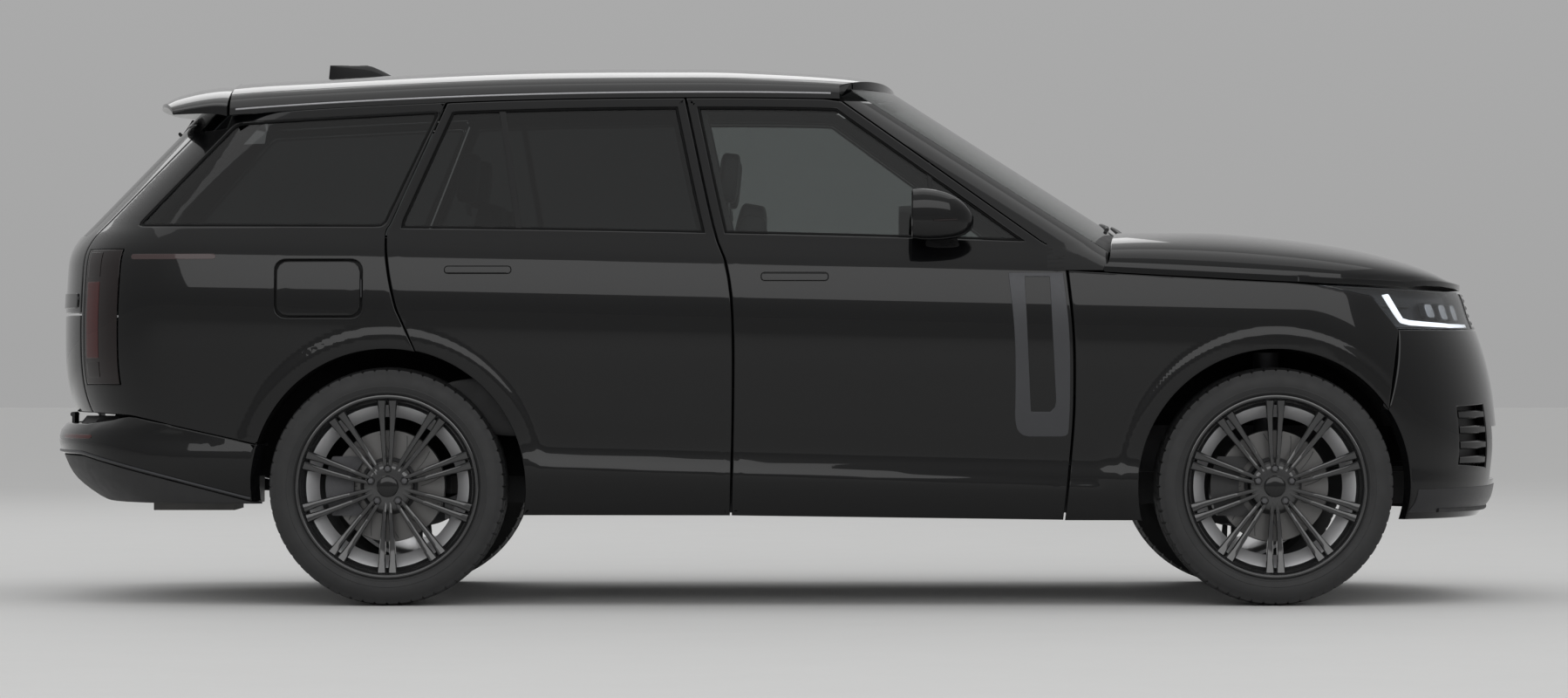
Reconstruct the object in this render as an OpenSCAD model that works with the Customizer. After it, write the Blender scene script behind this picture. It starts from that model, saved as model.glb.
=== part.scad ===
// Luxury sport utility vehicle, parked: body panels, glazing, cabin, running gear and wheels.
// +X is forward, +Y is to the left and +Z is up. The origin is on the ground, under the middle of the car.

/* [Overall] */
// Width over the body sides, without the mirrors
width = 2000; // [1960:1:2040]
// Height of the roof's crown
roof_z = 1850; // [1820:1:1880]
// Height of the waist line under the side windows, at mid-length
belt_z = 1245; // [1225:1:1260]
// Height of the sill's lower edge, at mid-length
sill_z = 302; // [285:1:320]
// Distance between the axles
wheelbase = 2997; // [2960:1:3030]
// Front bumper to front axle
front_overhang = 848; // [825:1:870]
// Rear axle to rear bumper
rear_overhang = 1207; // [1180:1:1235]
// Distance between the middles of a left and a right tyre
track = 1680; // [1640:1:1690]

/* [Panels] */
// Gap between a moving panel and its neighbour
shut_gap = 7; // [6:0.5:9]
// Thickness of a door below the waist
door_t = 120; // [100:1:140]
// Thickness of a door's window frame
frame_t = 44; // [36:1:52]
// Thickness of a fender or bumper wall
skin_t = 36; // [30:1:45]
// Thickness of a quarter panel with its inner trim
quarter_t = 90; // [70:1:110]
// Thickness of the roof with its lining
roof_t = 36; // [28:1:45]
// Thickness of the glass
glass_t = 6; // [5:0.5:8]
// Width of the black frame round a side window
frame_w = 34; // [28:1:45]

/* [Wheels] */
// Outer diameter of the tyre
tyre_d = 804; // [780:1:820]
// Width of the tyre
tyre_w = 285; // [265:1:295]
// Diameter of the rim at the bead seat
rim_d = 584; // [570:1:600]
// Number of twin spokes
spokes = 10; // [8:1:12]
// Radial room between the tyre and the wheel arch
arch_room = 62; // [52:1:75]
// Diameter of the brake disc
disc_d = 380; // [340:1:400]
// Radius of the hub's spindle
spindle_r = 32; // [26:1:38]

/* [Cabin] */
// Height of the cabin floor's upper face
floor_z = 470; // [450:1:490]
// Width of a front seat
seat_w = 530; // [480:1:560]
// Height of a seat cushion's upper face
seat_z = 800; // [770:1:830]
// Diameter of the steering wheel
steer_d = 380; // [350:1:400]

/* [Hidden] */

length = front_overhang + wheelbase + rear_overhang;
half_l = length / 2;
half_w = width / 2;
front_x = half_l - front_overhang;
rear_x = front_x - wheelbase;
tyre_r = tyre_d / 2;
rim_r = rim_d / 2;
axle_z = tyre_r;
arch_r = tyre_r + arch_room;
wheel_y = track / 2;
rail_z = roof_z - 105;

// How far the waist, the crease and the sill drop from the rear to the front, per millimetre
rake = 0.023;
sill_rake = 0.0127;
belt_bow = 5.07e-6;

// Reach of the rounded corners along the car, and the two powers of each corner's curve
nose_reach = 640;
nose_pow = [2.4, 2.8];
tail_reach = 430;
tail_pow = [2.6, 2.6];
screen_reach = 330;
screen_pow = [2.7, 1.8];

// Foot of the windscreen on the centre line, and its slope
cowl_x = front_x - 463;
cowl_z = belt_z + 4;
screen_slope = 32.7;

// Shut lines, as [x, z] in side view
door_front_x = front_x - 695;
door_mid_x = front_x - 1838;
gate_x = -half_l + 650;
gate_half = 0.80;
split_z = belt_z - 260;
drop_z = belt_z - 597;

// A smooth curve through points sorted by their first number
function find(x, p, i = 0) = i >= len(p) - 2 || x < p[i + 1][0] ? i : find(x, p, i + 1);
function slope(p, i) =
    let (a = max(i - 1, 0), b = min(i + 1, len(p) - 1)) (p[b][1] - p[a][1]) / (p[b][0] - p[a][0]);
function curve(x, p) =
    x <= p[0][0] ? p[0][1] :
    x >= p[len(p) - 1][0] ? p[len(p) - 1][1] :
    let (i = find(x, p), h = p[i + 1][0] - p[i][0], t = (x - p[i][0]) / h)
    p[i][1] * (1 + 2 * t) * (1 - t) ^ 2 + slope(p, i) * h * t * (1 - t) ^ 2
    + p[i + 1][1] * t * t * (3 - 2 * t) + slope(p, i + 1) * h * t * t * (t - 1);

function steps(a, b, n) = [for (i = [0:n]) a + (b - a) * i / n];
function mix(a, b, t) = a + (b - a) * t;

// Lines along the car
function belt(x) = belt_z - rake * x - belt_bow * x * x;
function sill(x) = sill_z - sill_rake * x;
function hood_line(x) = curve(x, [[front_x - 710, belt_z - 114], [front_x - 230, belt_z - 141],
    [front_x + 10, belt_z - 153], [front_x + 612, belt_z - 179]]);
function rail(x) = curve(x, [[-half_l + 400, rail_z - 86], [-half_l + 666, rail_z - 51],
    [-half_l + 1400, rail_z - 10], [-half_l + 2070, rail_z + 7], [front_x - 1425, rail_z + 2],
    [front_x - 1180, rail_z - 22]]);
function crown(x) = curve(x, [[-half_l + 367, roof_z - 140], [-half_l + 450, roof_z - 90],
    [-half_l + 643, roof_z - 55], [-half_l + 933, roof_z - 37], [-half_l + 1620, roof_z - 5],
    [-half_l + 2200, roof_z], [front_x - 1795, roof_z - 4], [front_x - 1440, roof_z - 28],
    [front_x - 1322, roof_z - 55], [front_x - 1260, roof_z - 82]]);
function hood(x) = curve(x, [[front_x - 700, belt_z + 8], [front_x - 459, belt_z + 25],
    [front_x - 203, belt_z + 20], [front_x + 40, belt_z], [front_x + 285, belt_z - 34],
    [front_x + 468, belt_z - 74], [front_x + 567, belt_z - 106], [front_x + 640, belt_z - 140],
    [front_x + 712, belt_z - 166]]);

// Profiles of the two ends and of the windscreen on the centre line
function front_end(z) = half_l - curve(z, [[280, 75], [310, 52], [350, 24], [440, 8], [540, 0], [680, 12],
    [770, 27], [870, 54], [970, 92], [1080, 139], [1250, 330]]);
function rear_end(z) = -half_l + curve(z, [[560, 130], [620, 92], [655, 60], [760, 30], [915, 22],
    [belt_z - 125, 30], [belt_z - 50, 40], [belt_z + 5, 70], [belt_z + 55, 117],
    [belt_z + 403, 450], [rail_z + 60, 598]]);
function bumper_end(z) = -half_l + curve(z, [[330, 190], [360, 130], [420, 55], [490, 16], [552, 0],
    [600, 16], [625, 60]]);
function screen_x(z) = cowl_x - (z - cowl_z) / tan(screen_slope);

// Half-width of the body side: a section by height, drawn in by plan
function section_in(h) = curve(h, [[sill_z - 14, 68], [sill_z + 26, 48], [sill_z + 100, 22],
    [sill_z + 150, 15], [sill_z + 220, 20], [700, 11], [870, 3], [1000, 0], [belt_z - 165, 5],
    [belt_z - 90, 18], [belt_z - 45, 36], [belt_z, 60], [belt_z + 250, 166],
    [rail_z - 100, 236], [rail_z + 30, 300]]);
function plan_in(x) = curve(x, [[-half_l, 185], [rear_x - 680, 82], [rear_x, 8], [rear_x + 800, 0],
    [front_x - 1050, 0], [front_x, 6], [front_x + 520, 62], [half_l, 130]]);
function side(x, z) = half_w - section_in(z + rake * x) - plan_in(x);

// A corner's share of the half-width, and how far along its reach a share lies
function corner(d, pow) = d <= 0 ? 1 : d >= 1 ? 0 : (1 - d ^ pow[0]) ^ (1 / pow[1]);
function reach(e, pow) = (1 - abs(e) ^ pow[1]) ^ (1 / pow[0]);

// Half-width at any place of the lower body
function body_y(x, z) = side(x, z)
    * corner((x - front_end(z) + nose_reach) / nose_reach, nose_pow)
    * corner((rear_end(z) + tail_reach - x) / tail_reach, tail_pow);

// Points round the nose, the tail and the windscreen: e is the share of the half-width, t the depth
// below the skin
function nose_pt(e, z, t = 0) =
    let (x = front_end(z) - t - nose_reach + nose_reach * reach(e, nose_pow)) [x, e * (side(x, z) - t), z];
function tail_pt(e, z, t = 0) =
    let (x = rear_end(z) + t + tail_reach - tail_reach * reach(e, tail_pow)) [x, e * (side(x, z) - t), z];
function bumper_pt(e, z, t = 0) =
    let (x = bumper_end(z) + t + tail_reach - tail_reach * reach(e, tail_pow)) [x, e * (side(x, z) - t), z];
function screen_pt(e, z, t = 0) =
    let (x = screen_x(z) - t / sin(screen_slope) - screen_reach + screen_reach * reach(e, screen_pow))
    [x, e * (side(x, z) - t), z];

// A closed solid between an outer and an inner grid of points
module slab(outer, inner) {
    r = len(outer);
    c = len(outer[0]);
    n = r * c;
    function o(i, j) = i * c + j;
    function k(i, j) = n + i * c + j;
    function quad(a, b, d, e) = [[a, b, d], [a, d, e]];
    points = concat([for (row = outer) each row], [for (row = inner) each row]);
    faces = concat(
        [for (i = [0:r - 2], j = [0:c - 2]) each quad(o(i, j), o(i + 1, j), o(i + 1, j + 1), o(i, j + 1))],
        [for (i = [0:r - 2], j = [0:c - 2]) each quad(k(i, j + 1), k(i + 1, j + 1), k(i + 1, j), k(i, j))],
        [for (i = [0:r - 2]) each quad(o(i + 1, 0), o(i, 0), k(i, 0), k(i + 1, 0))],
        [for (i = [0:r - 2]) each quad(o(i, c - 1), o(i + 1, c - 1), k(i + 1, c - 1), k(i, c - 1))],
        [for (j = [0:c - 2]) each quad(o(0, j), o(0, j + 1), k(0, j + 1), k(0, j))],
        [for (j = [0:c - 2]) each quad(o(r - 1, j + 1), o(r - 1, j), k(r - 1, j), k(r - 1, j + 1))]);
    polyhedron(points, faces);
}

// Cuts of pressed panels come out as one mesh
module pressed() resize([0, 0, 0]) children();

// The left half of the body side as a wall t thick, and a pane of the side glass
module body_wall(xs, zs, t, d = 0) slab(
    [for (x = xs) [for (z = zs) [x, body_y(x, z) + d, z]]],
    [for (x = xs) [for (z = zs) [x, body_y(x, z) - t, z]]]);
module pane(xs, depth) slab(
    [for (x = xs) [for (h = [-0.1, 0.25, 0.6, 1]) let (z = mix(belt(x), rail(x), h)) [x, side(x,
        z) - depth, z]]],
    [for (x = xs) [for (h = [-0.1, 0.25, 0.6, 1]) let (z = mix(belt(x), rail(x), h))
        [x, side(x, z) - depth - glass_t, z]]]);

// An outline in side view, pushed through the left half of the car, or across all of it
module through(outline) rotate([90, 0, 0]) translate([0, 0, -half_w - 50])
    linear_extrude(height = half_w + 49) polygon(outline);
module across(outline) rotate([90, 0, 0]) translate([0, 0, -half_w - 50])
    linear_extrude(height = width + 100) polygon(outline);
module both() {
    children();
    mirror([0, 1, 0]) children();
}

// Shut lines in side view, from the sill up
waist = [for (d = [685, 545, 325, 245, 105, 85, -4]) belt_z - d];
line_top = rail_z - 21;
glass_mid = mix(belt_z, rail_z, 0.5);
function mid_line(x, z) = door_mid_x + x + curve(z, [[sill_z - 2, 0], [waist[1], 8], [waist[3], 5],
    [waist[5], -17], [waist[6], -51], [line_top, -157]]);
function c_line(x, z) = rear_x + x + curve(z, [[belt_z - 405, 85], [waist[3], 32], [belt_z - 109, 3],
    [belt_z + 18, -4], [belt_z + 45, 12], [line_top, 196]]);
function front_line(x, z) = door_front_x + x + curve(z, [[sill_z - 22, -18], [waist[0], 8], [waist[1], 15],
    [waist[2], 12], [waist[4], -10]]);
function arch(cx, r, a0, a1, n = 10) = [for (a = steps(a0, a1, n)) [cx + r * cos(a), axle_z + r * sin(a)]];

// The upper edge of the side windows: the roof rail and the windscreen pillar
pillar_foot = [front_x - 783, belt_z - 19];
pillar_top = [front_x - 1459, rail_z - 31];
window_top = 27;
function head(x) = rail(x) - window_top;

// Side outlines of the two doors; g is what the shut gaps take off
c_line_zs = [glass_mid, belt_z + 45, belt_z + 18, belt_z - 109, waist[3]];
function front_door_outline(g) = concat(
    [[front_line(-g, sill_z - 22), sill(door_front_x)]],
    [for (i = [0, 1, 2, 4]) [front_line(-g, waist[i]), waist[i]]],
    [[front_line(-g, waist[4]), belt_z - 60], [pillar_foot[0] - g, pillar_foot[1]],
     [pillar_top[0] - g, pillar_top[1] - g]],
    [for (x = steps(pillar_top[0] - 60, mid_line(g, line_top), 4)) [x, head(x) - g]],
    [for (z = [glass_mid, waist[6], waist[5], waist[3], waist[1], sill(door_mid_x)]) [mid_line(g, z), z]]);
function rear_door_outline(g) = concat(
    [for (z = [sill(door_mid_x), waist[1], waist[3], waist[5], waist[6], glass_mid]) [mid_line(-g, z), z]],
    [for (x = steps(mid_line(-g, line_top), c_line(g, line_top), 5)) [x, head(x) - g]],
    [for (z = c_line_zs) [c_line(g, z), z]],
    arch(rear_x, arch_r + g, 78, -12, 10));

// Floor, load floor, the legs that carry the front axle, and the crash beam behind the front bumper
leg_y = 400;
tub_y = half_w - 360;
liner_y = half_w - 340;
module floor_pan() color("#1c1d1f") pressed() {
    difference() {
        translate([rear_x + 476, -half_w + 230, floor_z - 130]) cube([wheelbase - 956, width - 460, 130]);
        translate([rear_x + 400, -120, floor_z - 140]) cube([wheelbase, 240, 50]);
    }
    translate([rear_x + 274, -tub_y, floor_z - 130]) cube([210, 2 * tub_y, 130]);
    translate([rear_x + 274, -tub_y, floor_z - 130]) cube([10, 2 * tub_y, 215]);
    translate([-half_l + 260, -liner_y + 0.3, floor_z + 20]) cube([rear_x + half_l + 20,
        2 * liner_y - 0.6, 70]);
    both() translate([front_x - 500, leg_y, sill_z + 28.3]) cube([half_l - front_x + 350, 56, 110]);
    nose_band([for (i = [6:14]) nose_es[i]], [400, 540], 60, skin_t + 8.8);
}

// One sill beam on each side, under the doors
module sills() color("#151617") pressed() both() {
    translate([rear_x + 490, half_w - 230 + 0.3, sill_z + 8]) cube([wheelbase - 1010, 44,
        floor_z - sill_z - 8]);
}

// Windscreen pillars and centre pillars, left and right
module pillars() color("#0c0d0e") pressed() both() {
    difference() {
        a_pillar();
        through(front_door_outline(-shut_gap / 2));
        through(under_rail(0.5));
    }
    b_pillar();
}
module a_pillar() {
    es = [1, 0.995, 0.985, 0.97, 0.95, 0.9335];
    zs = concat([belt_z - 113], steps(belt_z - 40, rail_z - 10, 6));
    slab([for (e = es) [for (z = zs) screen_pt(e, z)]],
        [for (e = es) [for (z = zs) screen_pt(e, z, 46)]]);
}
// Side view of what the roof rail takes up, g larger all round
function under_rail(g) = let (x1 = roof_front(0.95) + 1 + g) concat(
    [[x1, roof_z + 100]], [for (x = steps(x1, pillar_top[0] - 200, 4)) [x, head(x) - g]],
    [[pillar_top[0] - 200, roof_z + 100]]);
// The centre pillar is the seat of both doors, just inside their inner faces
pillar_w = 120;
function pillar_outline() =
    let (w = pillar_w / 2, zs = [floor_z + 0.3, waist[1], waist[3], waist[5], waist[6], glass_mid]) concat(
    [for (z = zs) [mid_line(w, z), z]],
    [for (x = [mid_line(w, line_top), mid_line(-w, line_top)]) [x, head(x) - 0.5]],
    [for (i = [5:-1:0]) [mid_line(-w, zs[i]), zs[i]]]);
module b_pillar() intersection() {
    door_wall(door_mid_x - 260, door_mid_x + 110, door_t + 50, frame_t + 46, -door_t - 0.5, -frame_t - 4);
    through(pillar_outline());
}

// The roof between its two rails; u is the share of the half-width
roof_edge = 0.9;
roof_ss = steps(0, 1, 12);
roof_us = [for (u = [1, 0.97, 0.9, 0.75, 0.5, 0.25, 0, -0.25, -0.5, -0.75, -0.9, -0.97, -1]) u * roof_edge];
function roof_y(x) = side(x, rail(x));
function roof_h(x, u) = rail(x) + (crown(x) - rail(x)) * (1 - abs(u) ^ 2.8) ^ (1 / 1.7);
screen_top = rail_z + 11;
function roof_front(u) =
    screen_pt(min(abs(u), 0.955), screen_top, glass_t)[0] - 9;
function roof_pt(s, u, back) = let (x = mix(back, roof_front(u), s)) [x, u * roof_y(x), roof_h(x, u)];
module roof() color("#08090a") {
    slab([for (s = roof_ss) [for (u = roof_us) roof_pt(s, u, gate_x)]],
        [for (s = roof_ss) [for (u = roof_us) roof_pt(s, u, gate_x) - [0, 0, roof_t]]]);
    fin();
}
// Aerial fin on the roof, behind the middle
module fin() {
    fin_x = -half_l + 930;
    base = crown(fin_x + 130) - 12;
    hull() {
        translate([fin_x, -28, base]) cube([250, 56, 4]);
        translate([fin_x + 8, -5, base + 48]) cube([50, 10, 4]);
    }
}

// Rails along the roof's sides, from the windscreen pillars to the tailgate
module roof_rails() color("#0c0d0e") pressed() both() rail_solid();
module rail_solid() {
    outer = [for (s = roof_ss) let (x = mix(gate_x, roof_front(1), s)) concat(
        [for (h = [0, 0.5, 1]) let (z = mix(head(x), rail(x), h)) [x, side(x, z), z]],
        [for (u = [0.985, 0.95, roof_edge + 0.0006]) let (p = roof_pt(s, u, gate_x)) p])];
    inner = [for (s = roof_ss) let (x = mix(gate_x, roof_front(1), s)) concat(
        [[x, side(x, head(x)) - 58, head(x)], [x, side(x, head(x)) - 60, head(x) + 4],
         [x, side(x, head(x)) - 62, head(x) + 8]],
        [for (u = [0.985, 0.95]) let (p = roof_pt(s, u, gate_x)) [p[0], p[1] - 46, p[2] - roof_t]],
        [let (p = roof_pt(s, roof_edge + 0.0006, gate_x)) [p[0], p[1], p[2] - roof_t]])];
    slab(outer, inner);
}

// Front fenders, from the doors to the lamps
lamp_foot = front_x + 430;
lamp_low = belt_z - 313;
lamp_line = [[lamp_foot - 8, lamp_low], [front_x + 328, belt_z - 200], [front_x + 130,
    hood_line(front_x + 130) - 4]];
function fender_outline(g) = concat(
    [for (z = [belt_z - 125, waist[2], waist[1], waist[0], sill_z - 22, sill_z - 102]) [front_line(g,
        z), z]],
    [[front_x - arch_r - 30, sill_z - 102]], arch(front_x, arch_r, 205, 34, 16),
    [for (p = lamp_line) p],
    [for (x = steps(front_x + 40, front_line(g, belt_z - 125), 5)) [x, hood_line(x)]]);
module fenders() color("#08090a") pressed() both() {
    intersection() {
        body_wall(steps(door_front_x - 30, lamp_foot + 60, 9),
            [sill_z - 25, 400, 450, 520, 700, 870, 1000, 1080, 1150], skin_t);
        through(fender_outline(shut_gap / 2));
        translate([0, 0, sill_z - 14]) cube(half_l * 2);
    }
    for (x = [front_x - 330, front_x]) translate([x, side(x, hood_line(x)) - 18, hood_line(x) - 12])
        cylinder(r = 7, h = shut_gap / 2 + 11.6, $fn = 16);
}

// Quarter panels, from the rear doors round to the tailgate
function quarter_t_at(z) = curve(z, [[belt_z - 60, quarter_t], [belt_z + 40, 52]]);
function quarter_row(z, t) = concat(
    [for (e = [gate_half, 0.86, 0.91, 0.96, 1]) tail_pt(e, z, t)],
    [for (x = steps(rear_end(z) + t + tail_reach + 60, rear_x + 330, 4)) [x, side(x, z) - t, z]]);
function quarter_outline(g) = concat(
    [[-half_l - 50, 655], [-half_l + 325, 640], [rear_x - 449, 546]],
    arch(rear_x, arch_r, 161, 78, 10),
    [for (i = [4:-1:0]) [c_line(-g, c_line_zs[i]), c_line_zs[i]]],
    [for (x = steps(c_line(-g, line_top), gate_x, 8)) [x, head(x) - 0.8]],
    [[gate_x - 12, head(gate_x) - 45], [-half_l + 420, rail_z - 140], [-half_l - 50, rail_z - 330]]);
module quarters() color("#08090a") {
    pressed() quarter();
    pressed() mirror([0, 1, 0]) difference() {
        quarter();
        intersection() {
            body_wall(steps(rear_x - 420, rear_x - 50, 6), [950, 1000, 1060, 1120, 1190], 40, 9);
            through(flap_outline(-shut_gap / 2));
        }
    }
}
quarter_zs = concat([for (d = [715, 625, 545, 445, 330, 195, 115, 55, 5, -45]) belt_z - d],
    [for (h = [0.31, 0.63, 0.98]) mix(belt_z, rail_z, h)]);
module quarter() difference() {
    intersection() {
        slab([for (i = [0:9]) [for (z = quarter_zs) quarter_row(z, 0)[i]]],
            [for (i = [0:9]) [for (z = quarter_zs) quarter_row(z, quarter_t_at(z))[i]]]);
        through(quarter_outline(shut_gap / 2));
    }
    through(quarter_window(0));
    tail_lamp_block(0.3);
}
function quarter_window(g) = [[rear_x - 18 - g, belt(rear_x) + 14 + g], [rear_x + 158 - g,
    head(-1150) - 40 - g],
    [-half_l + 690 + g, head(-1836) - 40 - g], [-half_l + 370 + g, belt(-2156) + 14 + g]];
function flap_outline(g) = round_rect([rear_x - 377 + g, belt_z - 270 + g], [rear_x - 86 - g,
    belt_z - 80 - g], 36);
function round_rect(a, b, r) = [for (c = [[b[0] - r, b[1] - r, 0], [a[0] + r, b[1] - r, 90],
    [a[0] + r, a[1] + r, 180], [b[0] - r, a[1] + r, 270]]) each
    [for (t = [0, 30, 60, 90]) [c[0] + r * cos(c[2] + t), c[1] + r * sin(c[2] + t)]]];
module fuel_flap() color("#08090a") pressed() mirror([0, 1, 0]) intersection() {
    body_wall(steps(rear_x - 420, rear_x - 50, 6), [950, 1000, 1060, 1120, 1190], 14);
    through(flap_outline(shut_gap / 2));
}

// Upright lamps on the rear corners
module tail_lamp_block(c) {
    zs = concat([belt_z - 500 - c], steps(belt_z - 400, belt_z - 60, 3), [belt_z - 40 + c]);
    es = [gate_half + 0.025 - c / 700, 0.86, 0.9, 0.935, 0.965 + c / 700];
    slab([for (e = es) [for (z = zs) tail_pt(e, z, -3)]], [for (e = es) [for (z = zs) tail_pt(e, z,
        26 + c)]]);
}
module tail_lamps() color("#3a0507") both() tail_lamp_block(0);

// Fixed glass
screen_es = concat([0.9305], roof_us, [-0.9305]);
function screen_low(e) = belt_z + 14 - 60 * e ^ 8;
module windscreen() color("#0b0d0f") slab(
    [for (e = screen_es) [for (s = steps(0, 1, 8)) screen_pt(e, mix(screen_low(e), screen_top, s))]],
    [for (e = screen_es) [for (s = steps(0, 1, 8)) screen_pt(e, mix(screen_low(e), screen_top, s),
        glass_t)]]);
module quarter_glass() color("#0b0d0f") pressed() both() intersection() {
    slab([for (i = [0:9]) [for (z = quarter_zs) quarter_row(z, 8)[i]]],
        [for (i = [0:9]) [for (z = quarter_zs) quarter_row(z, 8 + glass_t)[i]]]);
    through(quarter_window(0.3));
}

// Doors: the skin and window frame reach the shut lines, the inner part stands a little further back
step_in = 14;
function front_window(g) =
    let (f = frame_w + g, a = pillar_foot - 0.58 * [f, 1.4 * f], b = pillar_top - 0.58 * [f, 1.4 * f],
        t = (belt(a[0]) + 8 + g - a[1]) / (b[1] - a[1]), x0 = mix(a[0], b[0], t), x1 = mid_line(f,
            belt_z + 15))
    concat([[x0, belt(x0) + 8 + g], b],
        [for (x = steps(b[0] - 60, mid_line(f, rail_z - 55), 3)) [x, head(x) - f]],
        [for (z = [glass_mid, belt_z + 25]) [mid_line(f, z), z]],
        [for (x = steps(x1, x0 - 200, 4)) [x, belt(x) + 8 + g]]);
function rear_window(g) =
    let (f = frame_w + g, x0 = mid_line(-f, belt_z + 15), x1 = c_line(f, belt_z + 45))
    concat([for (z = [belt_z + 25, glass_mid]) [mid_line(-f, z), z]],
        [for (x = steps(mid_line(-f, rail_z - 55), c_line(f, rail_z - 55), 4)) [x, head(x) - f]],
        [for (z = [glass_mid, belt_z + 45]) [c_line(f, z), z]],
        [for (x = steps(x1, x0 - 40, 4)) [x, belt(x) + 8 + g]]);
door_zs = [sill_z - 24, 400, 450, 520, 700, 880, 1020, 1085];
module door_wall(x0, x1, t, f, d = 0, e = 0) {
    xs = steps(x0, x1, 5);
    slab([for (x = xs) concat([for (z = door_zs) [x, side(x, z) + d, z]],
            [for (z = [-75, -30]) [x, side(x, belt(x) + z) + d, belt(x) + z]],
            [for (h = [0, 0.4, 0.8, 1.1]) let (z = mix(belt(x), rail(x), h)) [x, side(x, z) + e, z]])],
        [for (x = xs) concat([for (z = door_zs) [x, side(x, z) - t, z]],
            [for (z = [-75, -30]) [x, side(x, belt(x) + z) - t, belt(x) + z]],
            [for (h = [0, 0.4, 0.8, 1.1]) let (z = mix(belt(x), rail(x), h)) [x, side(x, z) - f, z]])]);
}
module front_door() color("#08090a") pressed() difference() {
    union() {
        intersection() {
            door_wall(door_mid_x - 190, door_front_x + 30, 30, 24);
            through(front_door_outline(shut_gap / 2));
        }
        intersection() {
            door_wall(door_mid_x - 190, door_front_x + 30, door_t, frame_t, -10, -10);
            through(front_door_outline(shut_gap / 2 + step_in));
        }
    }
    through(front_window(0));
    intersection() {
        door_wall(door_front_x - 260, door_front_x + 40, 12, 12, 9, 9);
        through(vent_outline(0));
    }
}
module rear_door() color("#08090a") pressed() difference() {
    union() {
        intersection() {
            door_wall(rear_x - 30, door_mid_x + 20, 30, 24);
            through(rear_door_outline(shut_gap / 2));
        }
        intersection() {
            door_wall(rear_x - 30, door_mid_x + 20, door_t, frame_t, -10, -10);
            through(rear_door_outline(shut_gap / 2 + step_in));
        }
    }
    through(rear_window(0));
}
module front_glass() color("#0b0d0f") pressed() intersection() {
    pane(steps(door_mid_x - 190, front_x - 760, 5), 10);
    through(front_window(0.3));
}
module rear_glass() color("#0b0d0f") pressed() intersection() {
    pane(steps(rear_x - 30, door_mid_x, 4), 10);
    through(rear_window(0.3));
}
// The upright vent trim at the front door's leading edge: two bands joined at the foot
function vent_outline(g) = concat(
    [for (z = [1124 - g, 920, 700, 600]) [front_line(-14 - g, z), z]],
    [for (a = [0, 45, 90]) [front_line(-34 - g, 600) + 20 * cos(a), 590 + g - 20 * sin(a)]],
    [for (a = [0, 30, 60, 90]) [front_line(-150, 600) - 44 * sin(a) + g, 614 + g - 44 * cos(a)]],
    [for (z = [700, 920, 1124 - g]) [front_line(-200 + g, z), z]]);
function vent_slot() = [for (p = [[-62, 1180], [-62, 690], [-92, 655], [-145, 655], [-145, 1180]])
    [front_line(p[0], min(p[1], 1140)), p[1]]];
module door_vent() color("#33353a") pressed() difference() {
    intersection() {
        door_wall(door_front_x - 260, door_front_x + 40, 11.7, 11.7, 3, 3);
        through(vent_outline(0.3));
    }
    through(vent_slot());
}

// Mirrors on the front doors
mirror_x = front_x - 1124;
module mirror_pod() color("#08090a") pressed() difference() {
    union() {
        hull() for (p = [[-80, -55, 30], [70, -50, 36], [-95, 78, 34], [55, 62, 36],
                [-80, -55, 140], [40, -50, 136], [-92, 70, 138], [30, 56, 134]])
            translate([mirror_x + p[0], half_w + p[1], belt_z - 10 + p[2]]) sphere(r = 26, $fn = 14);
        hull() {
            translate([mirror_x - 90, half_w - 65, belt_z - 66]) cube([150, 30, 40]);
            translate([mirror_x - 60, half_w - 30, belt_z - 20]) cube([110, 60, 40]);
        }
    }
    door_wall(door_mid_x - 190, door_front_x + 30, 60, 60, 0.4, 0.4);
}

// The bonnet wraps over the fenders down to the shut line; u is the share of the half-width
bonnet_t = 20;
hood_us = [for (u = [1, 0.985, 0.95, 0.88, 0.76, 0.55, 0.3, 0]) u];
function hood_e(x, y) = let (w = body_y(x, hood_line(x))) w < abs(y) + 0.01 ? 1 : abs(y) / w;
function hood_z(x, y) =
    let (e = hood_e(x, y), z0 = hood_line(x) + shut_gap / 2 + bonnet_t)
    z0 + max(0, hood(x) - z0) * (1 - e ^ 5) ^ (1 / 2.2);
function hood_back(u) =
    let (z = mix(hood_line(front_x - 600), belt_z + 17, (1 - abs(u) ^ 5) ^ (1 / 2.2)))
    screen_pt(u, z)[0] + 22;
function hood_pt(s, u) =
    let (x = mix(hood_back(u), nose_pt(u, hood_line(half_l))[0] - 4, s), y = u * side(x, hood_line(x)))
    [x, y, hood_z(x, y)];
module bonnet() color("#08090a") {
    us = concat(hood_us, [for (i = [6:-1:0]) -hood_us[i]]);
    ss = [0, 0.1, 0.2, 0.3, 0.4, 0.5, 0.6, 0.7, 0.8, 0.87, 0.92, 0.96, 0.985, 1];
    slab([for (s = ss) [for (u = us) hood_pt(s, u)]],
        [for (s = ss) [for (u = us) hood_pt(s, u) - [0, 0, bonnet_t]]]);
}

// The nose: bumper, grille and lamps
nose_es = [for (a = steps(90, -90, 20)) sin(a)];
module nose_band(es, zs, t, d = 0) slab(
    [for (e = es) [for (z = zs) nose_pt(e, z, d)]], [for (e = es) [for (z = zs) nose_pt(e, z, d + t)]]);
function bumper_cut(g) = concat([[front_x - 300, 150]], [for (p = arch(front_x, arch_r, -40, 34,
    8)) p + [g, 0]],
    [lamp_line[0] + [g, 0], lamp_line[0] + [g, 20], [front_x - 300, lamp_low + 20]]);
intake_top = belt_z - 570;
intake_low = belt_z - 785;
module front_bumper() color("#08090a") pressed() difference() {
    nose_band(nose_es, [sill_z - 14, 330, 400, 540, 690, 820, lamp_low], skin_t);
    both() through(bumper_cut(0.5));
    translate([half_l - 500, -540, intake_low - 50]) cube([600, 1080, 190]);
    both() translate([half_l - 600, 620, intake_low]) cube([600, 185, intake_top - intake_low]);
}
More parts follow.
